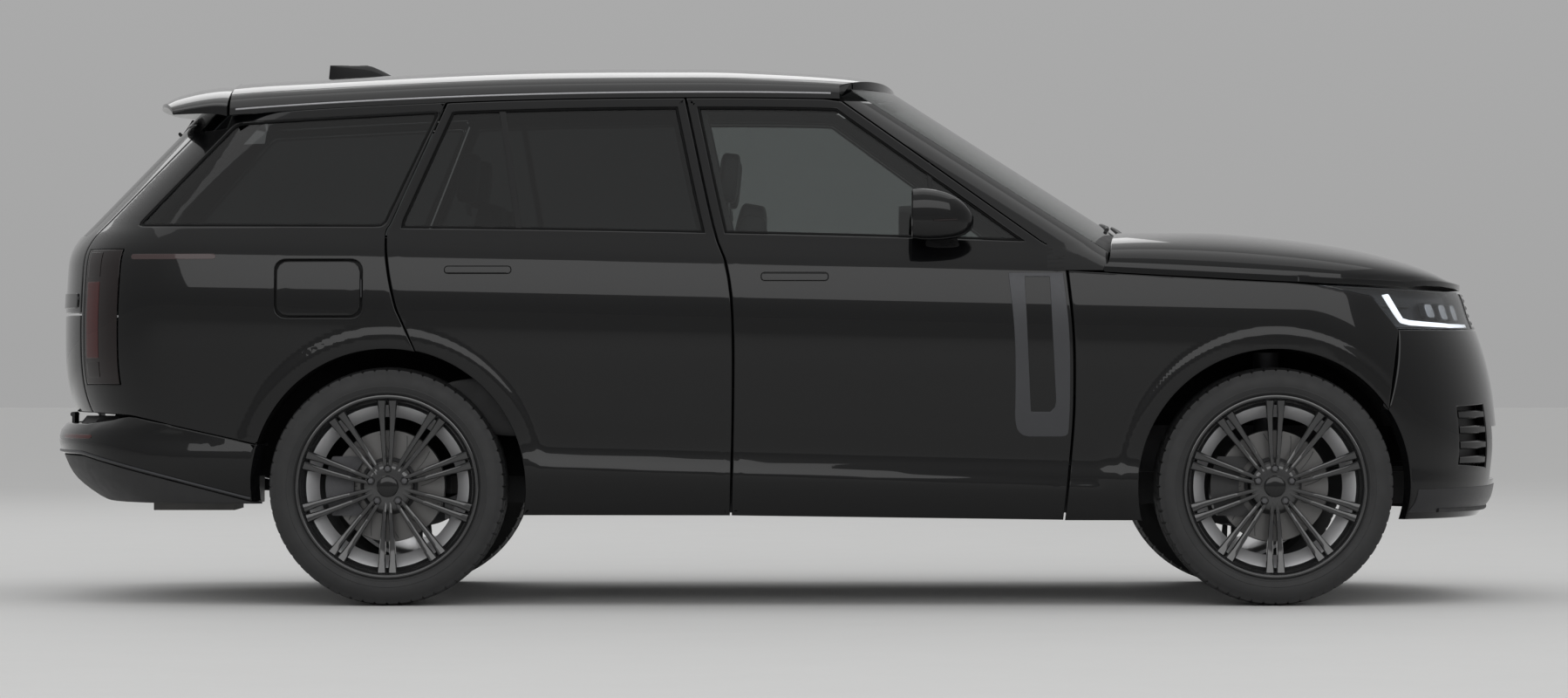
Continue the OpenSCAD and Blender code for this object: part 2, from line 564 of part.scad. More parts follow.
module grille() color("#101113") pressed() {
    difference() {
        nose_band([for (u = steps(0.534, -0.534, 8)) u], [lamp_low + 0.4, 1000, 1058], 26);
        for (k = [0:3]) both()
            translate([half_l - 300, 12, 948 + k * 27]) cube([400, 470, 17]);
    }
    nose_band([for (i = [3:17]) nose_es[i]], [400, 540, 690], 8, skin_t + 0.4);
    for (k = [0:2])
        nose_band([for (i = [7:13]) nose_es[i]], [intake_low - 30 + k * 52, intake_low - 16 + k * 52],
            skin_t - 4, 8.5);
}
function lamp_outline(g) = concat([for (i = [2, 1, 0]) lamp_line[i] + [0.5, 0.5]],
    [[half_l + 50, lamp_low + 0.5]],
    [for (x = steps(half_l + 50, front_x + 240, 6)) [x, hood_line(x) - g]]);
module headlamps() color("#20242a") pressed() both() intersection() {
    nose_band([for (e = [1, 0.995, 0.98, 0.95, 0.9, 0.83, 0.75, 0.65, 0.535]) e],
        [lamp_low - 4, 970, 1010, 1050, 1100], 60);
    through(lamp_outline(shut_gap / 2));
}

// The tail: a lifting upper gate with the spoiler, its glass, a drop-down lower gate and the bumper
gate_es = [for (u = [-1, -0.9, -0.75, -0.5, -0.25, 0, 0.25, 0.5, 0.75, 0.9, 1]) u];
gate_edge = gate_half - 0.009;
module tail_band(w, zs, t, d = 0, top = 0) {
    function rise(i, u) = i == len(zs) - 1 ? top * u * u : 0;
    slab([for (u = gate_es) [for (i = [0:len(zs) - 1]) tail_pt(u * w, zs[i] - rise(i, u), d)]],
        [for (u = gate_es) [for (i = [0:len(zs) - 1]) tail_pt(u * w, zs[i] - rise(i, u), d + t)]]);
}
glass_zs = [belt_z + 12, 1340, 1440, 1540, belt_z + 396];
spoiler_x = -half_l + 367;
gate_gap = 12;
function spoiler_pt(s, u, d) =
    let (x = mix(gate_x - gate_gap, spoiler_x + 90 * abs(u) ^ 3, s), w = roof_y(x) - 6)
    [x, u * w, roof_h(x, u) - 9 * (1 - s) ^ 6 - d * mix(34, 12, s)];
module tailgate() color("#08090a") pressed() {
    difference() {
        tail_band(gate_edge, [split_z + shut_gap / 2, 1080, 1130, 1180, 1215, 1250, 1300, 1400, 1560,
            roof_z - 85],
            50, 0, 25);
        translate([gate_x - gate_gap, -half_w, 1000]) cube([900, width, 900]);
        tail_band(0.70, [belt_z + 11.7, 1340, 1440, 1540, belt_z + 396.3], 90, -20);
    }
    slab([for (s = steps(1, 0, 6)) [for (u = steps(0.985, -0.985, 12)) spoiler_pt(s, u, 0)]],
        [for (s = steps(1, 0, 6)) [for (u = steps(0.985, -0.985, 12)) spoiler_pt(s, u, 1)]]);
}
module tailgate_glass() color("#0b0d0f") tail_band(0.699, glass_zs, glass_t, 6);
module drop_gate() color("#08090a")
    tail_band(gate_edge, [drop_z, 690, 760, 840, 915, split_z - shut_gap / 2], 55);
function bumper_row(z, t) = concat(
    [for (x = steps(rear_x - 400, bumper_end(z) + t + tail_reach + 20, 3)) [x, -side(x, z) + t, z]],
    [for (a = steps(-90, 90, 18)) bumper_pt(sin(a), z, t)],
    [for (x = steps(bumper_end(z) + t + tail_reach + 20, rear_x - 400, 3)) [x, side(x, z) - t, z]]);
ledge_z = drop_z - 43;
bumper_zs = [340, 370, 420, 490, 552, 600, 640];
module rear_bumper() color("#0a0b0c") pressed() difference() {
    slab(
        [for (i = [0:26]) [for (z = bumper_zs) bumper_row(z, 0)[i]]],
        [for (i = [0:26]) [for (z = bumper_zs) bumper_row(z, 60)[i]]]);
    across([[-half_l - 50, ledge_z], [-half_l + 170, ledge_z], [-half_l + 325, 639.5],
        [rear_x - 449, 545.5], [rear_x, 560], [rear_x, 700], [-half_l - 50, 700]]);
    both() through(concat([[rear_x, 200]], arch(rear_x, arch_r, 220, 150, 6), [[rear_x, 560]]));
}

// Wheels, drawn with the axis along Z and the outer face up
bead = 118;
flange_z = 132;
module rim() {
    rotate_extrude($fn = 96) polygon([[rim_r + 17, flange_z], [rim_r + 17, 124], [rim_r + 2, bead],
        [rim_r, 92],
        [rim_r - 22, 70], [rim_r - 30, 20], [rim_r - 30, -30], [rim_r - 7, -90], [rim_r, -bead],
        [rim_r + 17, -124], [rim_r + 17, -flange_z], [rim_r + 5, -flange_z], [rim_r - 9, -115],
        [rim_r - 16, -90], [rim_r - 39, -30], [rim_r - 39, 20], [rim_r - 30, 74], [rim_r - 11, 96],
        [rim_r - 4, 118], [rim_r + 8, flange_z]]);
    difference() {
        rotate_extrude($fn = 96) polygon([[0, 60], [84, 60], [110, 72], [190, 74], [rim_r - 8, 96],
            [rim_r - 1, 116], [rim_r - 1, 122], [rim_r - 18, 122], [220, 108], [150, 101], [84, 103],
            [70, 97], [36, 97], [32, 103], [0, 105]]);
        for (k = [0:spokes - 1]) rotate(90 + 360 * k / spokes) {
            linear_extrude(height = 200) polygon(spoke_window());
            linear_extrude(height = 200) polygon(spoke_slot());
        }
        translate([0, 0, 50]) cylinder(r = spindle_r + 0.3, h = 30.3, $fn = 64);
    }
}
// Half-width of a twin spoke, and of the slot between its two bars, by radius
function spoke_half(r) = curve(r, [[88, 21], [150, 31], [230, 33], [rim_r - 8, 33]]);
function spoke_slot() = concat(
    [for (r = [98, 180, 245]) [r, mix(5, 15, (r - 98) / 147)]], [[258, 8], [258, -8]],
    [for (r = [245, 180, 98]) [r, -mix(5, 15, (r - 98) / 147)]]);
function spoke_window() =
    let (n = 360 / spokes, rs = [90, 120, 160, 220, 270, rim_r + 4])
    concat([for (r = rs) let (a = asin(spoke_half(r) / r)) r * [cos(a), sin(a)]],
        [let (r = rim_r + 8) r * [cos(n / 2), sin(n / 2)]],
        [for (i = [5:-1:0]) let (r = rs[i], a = n - asin(spoke_half(r) / r)) r * [cos(a), sin(a)]]);
module brake_disc() difference() {
    union() {
        translate([0, 0, -17]) cylinder(d = disc_d, h = 34, $fn = 96);
        cylinder(r = 82, h = 59.7, $fn = 64);
    }
    translate([0, 0, -18]) cylinder(r = spindle_r + 0.3, h = 90, $fn = 64);
}
module tyre() {
    w = tyre_w / 2;
    half = [[rim_r + 2.4, bead - 18], [rim_r + 2.4, 113], [rim_r + 16, 122.5], [rim_r + 20, 128],
        [rim_r + 32, w - 4], [rim_r + 52, w], [rim_r + 76, w - 2.5], [tyre_r - 17, w - 9], [tyre_r - 7,
            w - 20],
        [tyre_r - 2.5, w - 34], [tyre_r, w - 50]];
    groove = [for (g = [[78, 71], [30, 22]]) each [[tyre_r, g[0]], [tyre_r - 8, g[0] - 1], [tyre_r - 8,
        g[1] + 1],
        [tyre_r, g[1]]]];
    inside = [[tyre_r - 20, w - 56], [tyre_r - 30, w - 26], [rim_r + 60, w - 13], [rim_r + 24, 116]];
    outer = concat(half, groove);
    rotate_extrude($fn = 96) polygon(concat(outer, [for (i = [len(outer) - 1:-1:0]) [outer[i][0],
        -outer[i][1]]],
        [for (i = [3:-1:0]) [inside[i][0], -inside[i][1]]], inside));
}
// Places a wheel part on the right side; the left side is its mirror image
module at_wheel(x) translate([x, -wheel_y, axle_z]) rotate([90, 0, 0]) children();
module wheel(x) {
    color("#0b0b0c") at_wheel(x) rim();
    color("#6a6c70") at_wheel(x) brake_disc();
}
module rubber(x) color("#17181a") at_wheel(x) tyre();

// Uprights with the spindle and the brake caliper, in the wheel's own axes
pin_in = 75;
arm_drop = 135;
module upright(back) {
    translate([0, 0, -95]) cylinder(r = spindle_r, h = 174, $fn = 64);
    translate([0, 0, -96]) cylinder(r = 72, h = 52, $fn = 48);
    translate([-34, -arm_drop, -pin_in - 25]) cube([68, 2 * arm_drop, 40]);
    difference() {
        translate([0, 0, -52]) intersection() {
            cylinder(r = 214, h = 98, $fn = 96);
            translate([back < 0 ? -230 : 60, -100, 0]) cube([170, 200, 98]);
        }
        translate([0, 0, -60]) cylinder(r = 118, h = 120, $fn = 64);
        translate([0, 0, -23]) cylinder(d = disc_d + 12, h = 46, $fn = 96);
    }
    translate([back < 0 ? -130 : 40, -32, -96]) cube([90, 64, 44]);
}
module knuckle() color("#3c3e42") at_wheel(front_x) upright(-1);

// Front suspension: crossmember, lower and upper arms, and spring struts
pin_y = wheel_y - pin_in;
module front_axle() color("#26282b") {
    translate([front_x - 190, -leg_y - 56, sill_z - 40]) cube([330, 2 * leg_y + 112, 68]);
    both() {
        translate([front_x - 42, 380, axle_z - arm_drop - 42]) cube([84, pin_y - 380, 39]);
        translate([front_x, pin_y, axle_z - arm_drop - 42]) cylinder(r = 34, h = 41.7, $fn = 48);
        translate([front_x - 36, 560, axle_z + arm_drop + 0.3]) cube([72, pin_y - 560, 26]);
        translate([front_x, pin_y, axle_z + arm_drop + 0.3]) cylinder(r = 30, h = 26, $fn = 48);
        translate([front_x, 590, axle_z - arm_drop - 12]) cylinder(r = 30, h = 320, $fn = 48);
        translate([front_x, 590, axle_z + arm_drop + 20]) cylinder(r = 44, h = 296, $fn = 48);
    }
}

// Rear suspension with its uprights, fixed to the body
module rear_axle() color("#26282b") {
    translate([rear_x - 160, -400, sill_z - 30]) cube([320, 800, 70]);
    translate([rear_x, 0, axle_z - 10]) sphere(r = 92, $fn = 48);
    both() {
        translate([rear_x - 42, 390, axle_z - arm_drop - 20]) cube([84, pin_y - 390, 34]);
        translate([rear_x, 560, axle_z - arm_drop - 4]) cylinder(r = 46, h = 180, $fn = 48);
        translate([rear_x + 110, 330, sill_z + 30]) cylinder(r = 28, h = floor_z - sill_z - 10.3, $fn = 32);
        translate([rear_x, 60, axle_z]) rotate([-90, 0, 0]) cylinder(r = 22, h = wheel_y - 150, $fn = 32);
    }
    both() mirror([0, 1, 0]) at_wheel(rear_x) upright(-1);
}

// The driving mass under the bonnet, as one plain block
module engine() color("#2b2d30")
    translate([front_x - 420, -290, sill_z + 28.3]) cube([690, 580, 610]);

// Two silencers and pipes under the load floor
module exhaust() color("#55585c") both() {
    translate([-half_l + 290, 380, sill_z + 90]) rotate([0, 90, 0]) cylinder(r = 42, h = 100, $fn = 40);
    translate([-half_l + 370, 230, sill_z + 8]) cube([280, 300, floor_z - sill_z + 11.7]);
}

// Hinge pins of the tailgate, the drop-down gate and the fuel flap
gate_pin = [gate_x - gate_gap / 2 - 0.4, roof_z - 62];
drop_pin = [-half_l + 75, drop_z - 8.4];
flap_pin = [rear_x - 86, -side(rear_x - 86, belt_z - 175)];
module hinges() color("#1a1b1d") {
    both() translate([gate_pin[0], 120, gate_pin[1]]) rotate([-90, 0, 0])
        cylinder(r = gate_gap / 2 - 0.4, h = 120, $fn = 32);
    both() {
        translate([drop_pin[0], 300, drop_pin[1]]) rotate([-90, 0, 0]) cylinder(r = 8, h = 120, $fn = 32);
        translate([drop_pin[0] - 2, 300, ledge_z + 0.4]) cube([9, 120, drop_pin[1] - ledge_z - 0.4]);
    }
    translate([flap_pin[0], flap_pin[1], belt_z - 205]) cylinder(r = shut_gap / 2 - 0.5, h = 60, $fn = 24);
}

// Liners over the wheels, with the inner walls behind the rear wheels
module liner(x, y0, y1, low) difference() {
    translate([x, y0, axle_z]) rotate([-90, 0, 0]) cylinder(r = arch_r + 8, h = y1 - y0, $fn = 64);
    translate([x, y0 + 6, axle_z]) rotate([-90, 0, 0]) cylinder(r = arch_r + 1, h = y1 - y0, $fn = 64);
    translate([x - 600, y0 - 1, -100]) cube([1200, y1 - y0 + 2, low + 100]);
}
module arch_liners() color("#121314") both() {
    liner(front_x, 480, half_w - 140, axle_z + 200);
    liner(rear_x, liner_y, half_w - 180, axle_z + 30);
}

// The wall between the engine and the cabin, and the strip under the windscreen
module bulkhead() color("#17181a") pressed() {
    translate([front_x - 538, -half_w + 190, floor_z + 0.3]) cube([36, width - 380,
        belt_z - 140 - floor_z]);
    both() slab([for (x = [front_x - 538, front_x - 502]) [for (z = wing_zs) [x, side(x,
        z) - skin_t - 0.4, z]]],
        [for (x = [front_x - 538, front_x - 502]) [for (z = wing_zs) [x, half_w - 200, z]]]);
    slab([for (e = screen_es) [for (z = [belt_z - 75, screen_low(e) - 0.4]) screen_pt(e, z)]],
        [for (e = screen_es) [for (z = [belt_z - 75, screen_low(e) - 0.4]) screen_pt(e, z, 30)]]);
}
wing_zs = [520, 700, 870, 1000, 1080];

// Seats
seat_y = half_w - 625;
module seat(w, base) {
    rotate([90, 0, 0]) translate([0, 0, -w / 2]) linear_extrude(height = w) polygon(concat(
        [[-250, base], [250, base], [262, seat_z - 40]],
        [for (a = [0, 30, 60, 90]) [230 + 30 * cos(a), seat_z - 40 + 40 * sin(a)]],
        [[-120, seat_z - 26], [-210, seat_z + 130], [-262, seat_z + 470], [-290, seat_z + 560],
        [-340, seat_z + 575], [-372, seat_z + 555], [-360, seat_z + 420], [-315, seat_z]]));
    rotate([90, 0, 0]) translate([0, 0, -130]) linear_extrude(height = 260) polygon(
        [[-295, seat_z + 570], [-275, seat_z + 640], [-285, seat_z + 745], [-330, seat_z + 765],
        [-360, seat_z + 730], [-350, seat_z + 570]]);
}
module front_seats() color("#26262a") both()
    translate([front_x - 1530, seat_y, 0]) seat(seat_w, floor_z + 0.3);
module rear_seat() color("#26262a") {
    for (y = [-seat_y, seat_y]) translate([rear_x + 560, y, 0]) seat(seat_w, floor_z + 0.3);
    translate([rear_x + 560, 0, 0]) rotate([90, 0, 0]) translate([0, 0, seat_w / 2 - seat_y + 2])
        linear_extrude(height = 2 * seat_y - seat_w - 4)
        polygon([[-250, floor_z + 0.3], [250, floor_z + 0.3], [250, seat_z - 30], [-140, seat_z - 40],
        [-270, seat_z + 480], [-350, seat_z + 480], [-310, seat_z]]);
}

// Dashboard with the centre console, and the steering wheel on its column
dash_x = front_x - 820;
module dashboard() color("#1b1c1f") {
    rotate([90, 0, 0]) translate([0, 0, -half_w + 200]) linear_extrude(height = width - 400) polygon(
        [[dash_x + 281.7, 700], [dash_x + 281.7, belt_z - 125], [dash_x + 180, belt_z - 75],
            [dash_x + 60, belt_z - 75],
        [dash_x, belt_z - 110], [dash_x - 20, belt_z - 200], [dash_x + 60, belt_z - 330],
            [dash_x + 150, 700]]);
    translate([front_x - 1660, -105, floor_z + 0.3]) cube([870, 210, 330]);
    rotate([90, 0, 0]) translate([0, 0, -105]) linear_extrude(height = 210) polygon(
        [[front_x - 800, floor_z + 0.3], [dash_x + 200, floor_z + 0.3], [dash_x + 200, 720],
            [dash_x + 40, belt_z - 260],
        [front_x - 950, floor_z + 330]]);
}
module steering_wheel() color("#141416") translate([dash_x - 118, seat_y, belt_z - 235]) rotate([0,
    -65, 0]) {
    rotate_extrude($fn = 72) translate([steer_d / 2 - 15, 0]) circle(r = 15, $fn = 24);
    translate([0, 0, -18]) cylinder(r = 62, h = 30, $fn = 48);
    for (a = [0, 120, 240]) rotate(a + 180) translate([50, -20, -10]) cube([steer_d / 2 - 66, 40, 16]);
    translate([0, 0, -140.3]) cylinder(r = 24, h = 129.3, $fn = 32);
}

floor_pan();
sills();
pillars();
roof_rails();
fenders();
quarters();
roof();
windscreen();
quarter_glass();
front_bumper();
rear_bumper();
grille();
headlamps();
tail_lamps();
bulkhead();
engine();
front_axle();
rear_axle();
exhaust();
front_seats();
rear_seat();
dashboard();
steering_wheel();
arch_liners();
hinges();
bonnet();
tailgate();
tailgate_glass();
drop_gate();
front_door();  // front_door_left
front_glass();  // front_glass_left
mirror_pod();  // mirror_left
door_vent();  // door_vent_left
mirror([0, 1, 0]) front_door();  // front_door_right
mirror([0, 1, 0]) front_glass();  // front_glass_right
mirror([0, 1, 0]) mirror_pod();  // mirror_right
mirror([0, 1, 0]) door_vent();  // door_vent_right
rear_door();  // rear_door_left
rear_glass();  // rear_glass_left
mirror([0, 1, 0]) rear_door();  // rear_door_right
mirror([0, 1, 0]) rear_glass();  // rear_glass_right
fuel_flap();
mirror([0, 1, 0]) knuckle();  // knuckle_left
knuckle();  // knuckle_right
mirror([0, 1, 0]) wheel(front_x);  // wheel_front_left
mirror([0, 1, 0]) rubber(front_x);  // tyre_front_left
wheel(front_x);  // wheel_front_right
rubber(front_x);  // tyre_front_right
mirror([0, 1, 0]) wheel(rear_x);  // wheel_rear_left
mirror([0, 1, 0]) rubber(rear_x);  // tyre_rear_left
wheel(rear_x);  // wheel_rear_right
rubber(rear_x);  // tyre_rear_right
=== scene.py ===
import math
import bmesh
import bpy
import numpy as np
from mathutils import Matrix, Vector
from mathutils.geometry import delaunay_2d_cdt


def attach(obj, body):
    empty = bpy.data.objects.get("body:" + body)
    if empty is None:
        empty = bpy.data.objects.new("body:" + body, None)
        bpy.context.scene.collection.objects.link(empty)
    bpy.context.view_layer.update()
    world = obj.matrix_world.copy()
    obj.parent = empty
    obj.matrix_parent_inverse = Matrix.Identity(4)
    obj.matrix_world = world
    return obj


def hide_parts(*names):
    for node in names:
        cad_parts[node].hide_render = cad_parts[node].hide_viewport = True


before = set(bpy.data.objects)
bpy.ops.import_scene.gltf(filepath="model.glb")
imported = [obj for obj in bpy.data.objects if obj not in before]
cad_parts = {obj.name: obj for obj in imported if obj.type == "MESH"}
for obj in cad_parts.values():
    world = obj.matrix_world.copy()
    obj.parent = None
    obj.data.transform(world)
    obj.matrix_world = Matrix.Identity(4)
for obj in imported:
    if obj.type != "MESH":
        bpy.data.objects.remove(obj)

scene = bpy.context.scene
scene.view_settings.view_transform = "Standard"
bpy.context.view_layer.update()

# everything below is worked out in millimetres, as the solids are, and turned into metres when a mesh is made
car = {"length": 5052, "width": 2000, "roofZ": 1850, "beltZ": 1245, "sillZ": 302, "wheelbase": 2997,
       "frontOverhang": 848, "track": 1680, "tyreR": 402, "rimR": 292, "archR": 464, "rake": 0.023,
       "sillRake": 0.0127, "beltBow": 5.07e-6}
halfL = car["length"] / 2
halfW = car["width"] / 2
beltZ = car["beltZ"]
sillZ = car["sillZ"]
roofZ = car["roofZ"]
railZ = roofZ - 105
frontX = halfL - car["frontOverhang"]
rearX = frontX - car["wheelbase"]
axleZ = car["tyreR"]
archR = car["archR"]
wheelY = car["track"] / 2
cowlX = frontX - 463
cowlZ = beltZ + 4
doorFrontX = frontX - 695
doorMidX = frontX - 1838
gateX = -halfL + 650
splitZ = beltZ - 260
dropZ = beltZ - 597
corners = {"nose": (640, 2.4, 2.8), "tail": (430, 2.6, 2.6), "screen": (330, 2.7, 1.8)}
noseR, tailR = corners["nose"][0], corners["tail"][0]


def curve(x, table):
    # smooth curve through points sorted by their first number
    p = np.array(table, float)
    xs, ys = p[:, 0], p[:, 1]
    n = len(xs)
    lo = np.maximum(np.arange(n) - 1, 0)
    hi = np.minimum(np.arange(n) + 1, n - 1)
    m = (ys[hi] - ys[lo]) / (xs[hi] - xs[lo])
    x = np.clip(np.asarray(x, float), xs[0], xs[-1])
    i = np.clip(np.searchsorted(xs, x, side="right") - 1, 0, n - 2)
    h = xs[i + 1] - xs[i]
    t = (x - xs[i]) / h
    return (ys[i] * (1 + 2 * t) * (1 - t) ** 2 + m[i] * h * t * (1 - t) ** 2
            + ys[i + 1] * t * t * (3 - 2 * t) + m[i + 1] * h * t * t * (t - 1))


def mix(a, b, t):
    return a + (b - a) * t


def fullTurn(n):
    return np.linspace(0, 2 * math.pi, n, endpoint=False)


def bulge(v, p):
    # a sine or cosine raised so that a circle swells towards a square
    return np.sign(v) * np.abs(v) ** p


def smooth(x, a, b):
    t = np.clip((np.asarray(x, float) - a) / (b - a), 0, 1)
    return t * t * (3 - 2 * t)


# lines along the car
def belt(x):
    return beltZ - car["rake"] * x - car["beltBow"] * x * x


def sill(x):
    return sillZ - car["sillRake"] * x


def hoodLine(x):
    return curve(x, [(frontX - 710, beltZ - 114), (frontX - 230, beltZ - 141), (frontX + 10, beltZ - 153),
                     (frontX + 612, beltZ - 179)])


def rail(x):
    return curve(x, [(-halfL + 400, railZ - 86), (-halfL + 666, railZ - 51), (-halfL + 1400, railZ - 10),
                     (-halfL + 2070, railZ + 7), (frontX - 1425, railZ + 2), (frontX - 1180, railZ - 22)])


def crown(x):
    return curve(x, [(-halfL + 367, roofZ - 140), (-halfL + 450, roofZ - 90), (-halfL + 643, roofZ - 55),
                     (-halfL + 933, roofZ - 37), (-halfL + 1620, roofZ - 5), (-halfL + 2200, roofZ),
                     (frontX - 1795, roofZ - 4), (frontX - 1440, roofZ - 28), (frontX - 1322, roofZ - 55),
                     (frontX - 1260, roofZ - 82)])


def hood(x):
    return curve(x, [(frontX - 700, beltZ + 8), (frontX - 459, beltZ + 25), (frontX - 203, beltZ + 20),
                     (frontX + 40, beltZ), (frontX + 285, beltZ - 34), (frontX + 468, beltZ - 74),
                     (frontX + 567, beltZ - 106), (frontX + 640, beltZ - 140), (frontX + 712, beltZ - 166)])


def frontEnd(z):
    return halfL - curve(z, [(280, 75), (310, 52), (350, 24), (440, 8), (540, 0), (680, 12), (770, 27),
                             (870, 54), (970, 92), (1080, 139), (1250, 330)])


def rearEnd(z):
    return -halfL + curve(z, [(560, 130), (620, 92), (655, 60), (760, 30), (915, 22), (beltZ - 125, 30),
                              (beltZ - 50, 40), (beltZ + 5, 70), (beltZ + 55, 117), (beltZ + 403, 450),
                              (railZ + 60, 598)])


def bumperEnd(z):
    return -halfL + curve(z, [(330, 190), (360, 130), (420, 55), (490, 16), (552, 0), (600, 16), (625, 60)])


def screenX(z):
    return cowlX - (z - cowlZ) / math.tan(math.radians(32.7))


# half-width of the body side, with the lip round each wheel arch and the low crease of the doors
def sectionIn(h):
    return curve(h, [(sillZ - 14, 68), (sillZ + 26, 48), (sillZ + 100, 22), (sillZ + 150, 15),
                     (sillZ + 220, 20), (700, 11), (870, 3), (1000, 0), (beltZ - 165, 5), (beltZ - 90, 18),
                     (beltZ - 45, 36), (beltZ, 60), (beltZ + 250, 166), (railZ - 100, 236),
                     (railZ + 30, 300)])


def planIn(x):
    return curve(x, [(-halfL, 185), (rearX - 680, 82), (rearX, 8), (rearX + 800, 0), (frontX - 1050, 0),
                     (frontX, 6), (frontX + 520, 62), (halfL, 130)])


def side(x, z):
    return halfW - sectionIn(z + car["rake"] * x) - planIn(x)


def corner(d, kind):
    p, q = corners[kind][1:]
    d = np.clip(d, 0, 1)
    return (1 - d ** p) ** (1 / q)


def reach(e, kind):
    p, q = corners[kind][1:]
    return (1 - np.clip(np.abs(e), 0, 1) ** q) ** (1 / p)


def bodyY(x, z):
    return (side(x, z) * corner((x - frontEnd(z) + noseR) / noseR, "nose")
            * corner((rearEnd(z) + tailR - x) / tailR, "tail"))


archLip = {"width": 62, "rise": 5.0, "edge": 10}
lowCrease = {"z": 437, "rake": 0.0411, "depth": 5.0, "height": 26}


def skinY(x, z):
    # the body side with its pressed features
    y = bodyY(x, z)
    for cx in (frontX, rearX):
        r = np.hypot(x - cx, z - axleZ)
        y = y + archLip["rise"] * (1 - smooth(r, archR + archLip["width"] - archLip["edge"],
                                              archR + archLip["width"] + archLip["edge"]))
    line = lowCrease["z"] - lowCrease["rake"] * x
    between = smooth(x, rearX + 470, rearX + 560) * (1 - smooth(x, frontX - 620, frontX - 560))
    return y - lowCrease["depth"] * between * smooth(z, line, line + lowCrease["height"]) * (
        1 - smooth(z, line + 40, line + 190))


def bodyPt(x, z, t=0):
    return np.stack([x + 0 * z, skinY(x, z) - t, z + 0 * x], -1)


def sidePt(x, z, t=0):
    low = skinY(x, z) - t
    return np.stack([x + 0 * z, np.where(z < belt(x) - 20, low, side(x, z) - t), z + 0 * x], -1)


def sunk(place, d):
    # the same surface, moved inwards by d
    return lambda a, b, t: place(a, b, t + d)


def endPt(end, kind, sign):
    # a point round one end of the car, from the share of the half-width, the height and the depth
    def pt(e, z, t=0):
        r = corners[kind][0]
        x = end(z) + sign * (t + r - r * reach(e, kind))
        return np.stack([x, e * (side(x, z) - t), z + 0 * x], -1)
    return pt


nosePt = endPt(frontEnd, "nose", -1)
tailPt = endPt(rearEnd, "tail", 1)
bumperPt = endPt(bumperEnd, "tail", 1)
screenPt = endPt(screenX, "screen", -1)


def roofY(x):
    return side(x, rail(x))


def roofH(x, u):
    return rail(x) + (crown(x) - rail(x)) * (1 - np.clip(np.abs(u), 0, 1) ** 2.8) ** (1 / 1.7)


screenTop = railZ + 11
glassT = 6


def roofFront(u):
    return screenPt(np.minimum(np.abs(u), 0.955), screenTop + 0 * u, glassT)[..., 0] - 9


# shut lines in side view
headRefZ = 1724  # height at which the lines up the doors end
windowFrame = {"width": 34, "foot": 8, "sightZ": 1690}


def midLine(z):
    return doorMidX + curve(z, [(300, 0), (700, 8), (1000, 5), (1160, -17), (1249, -51), (headRefZ, -157)])


def cLine(z):
    return rearX + curve(z, [(840, 85), (1000, 32), (1136, 3), (1263, -4), (1290, 12), (headRefZ, 196)])


def frontLine(z):
    return doorFrontX + curve(z, [(280, -18), (560, 8), (700, 15), (920, 12), (1140, -10)])


def archArc(cx, r, a0, a1, n=40):
    a = np.radians(np.linspace(a0, a1, n))
    return [(cx + r * math.cos(v), axleZ + r * math.sin(v)) for v in a]


def head(x):
    return rail(x) - 27


def lineUp(fn, z0, z1, n=24):
    return [(float(fn(z)), float(z)) for z in np.linspace(z0, z1, n)]


def lineAlong(fn, x0, x1, n=24):
    return [(float(x), float(fn(x))) for x in np.linspace(x0, x1, n)]


# materials: each has its own colour drift, roughness drift and surface grain,
# which is given as scale, strength, depth and detail
def newMaterial(name):
    mat = bpy.data.materials.new(name)
    mat.use_nodes = True
    return mat, mat.node_tree, mat.node_tree.links.new


def newNode(tree, kind, values=None):
    node = tree.nodes.new("ShaderNode" + kind)
    for socket, value in (values or {}).items():
        node.inputs[socket].default_value = value
    return node


def finish(name, color, rough, **opt):
    mat, tree, link = newMaterial(name)
    shader = tree.nodes["Principled BSDF"]
    for socket, value in opt.get("sockets", {}).items():
        shader.inputs[socket].default_value = value
    where = newNode(tree, "TexCoord").outputs["Object"]

    def noise(scale, detail):
        node = newNode(tree, "TexNoise", {"Scale": scale, "Detail": detail})
        link(where, node.inputs["Vector"])
        return node.outputs["Fac"]

    spread = opt.get("spread", 0.12)
    shade = newNode(tree, "Mix")
    shade.data_type = "RGBA"
    shade.inputs["A"].default_value = [c * (1 - spread) for c in color] + [1]
    shade.inputs["B"].default_value = [min(1, c * (1 + spread)) for c in color] + [1]
    link(noise(opt.get("driftScale", 3.0), 4), shade.inputs["Factor"])
    link(shade.outputs["Result"], shader.inputs["Base Color"])
    span = newNode(tree, "MapRange", {"To Min": rough * 0.8, "To Max": rough * 1.2})
    link(noise(opt.get("roughScale", 25.0), 3), span.inputs["Value"])
    link(span.outputs["Result"], shader.inputs["Roughness"])
    if "grain" in opt:
        scale, strength, depth, detail = opt["grain"]
        if opt.get("cells"):
            field = newNode(tree, "TexVoronoi", {"Scale": scale})
            field.feature = "DISTANCE_TO_EDGE"
            link(where, field.inputs["Vector"])
            height = field.outputs["Distance"]
        else:
            height = noise(scale, detail)
        bump = newNode(tree, "Bump", {"Strength": strength, "Distance": depth})
        link(height, bump.inputs["Height"])
        link(bump.outputs["Normal"], shader.inputs["Normal"])
    return mat


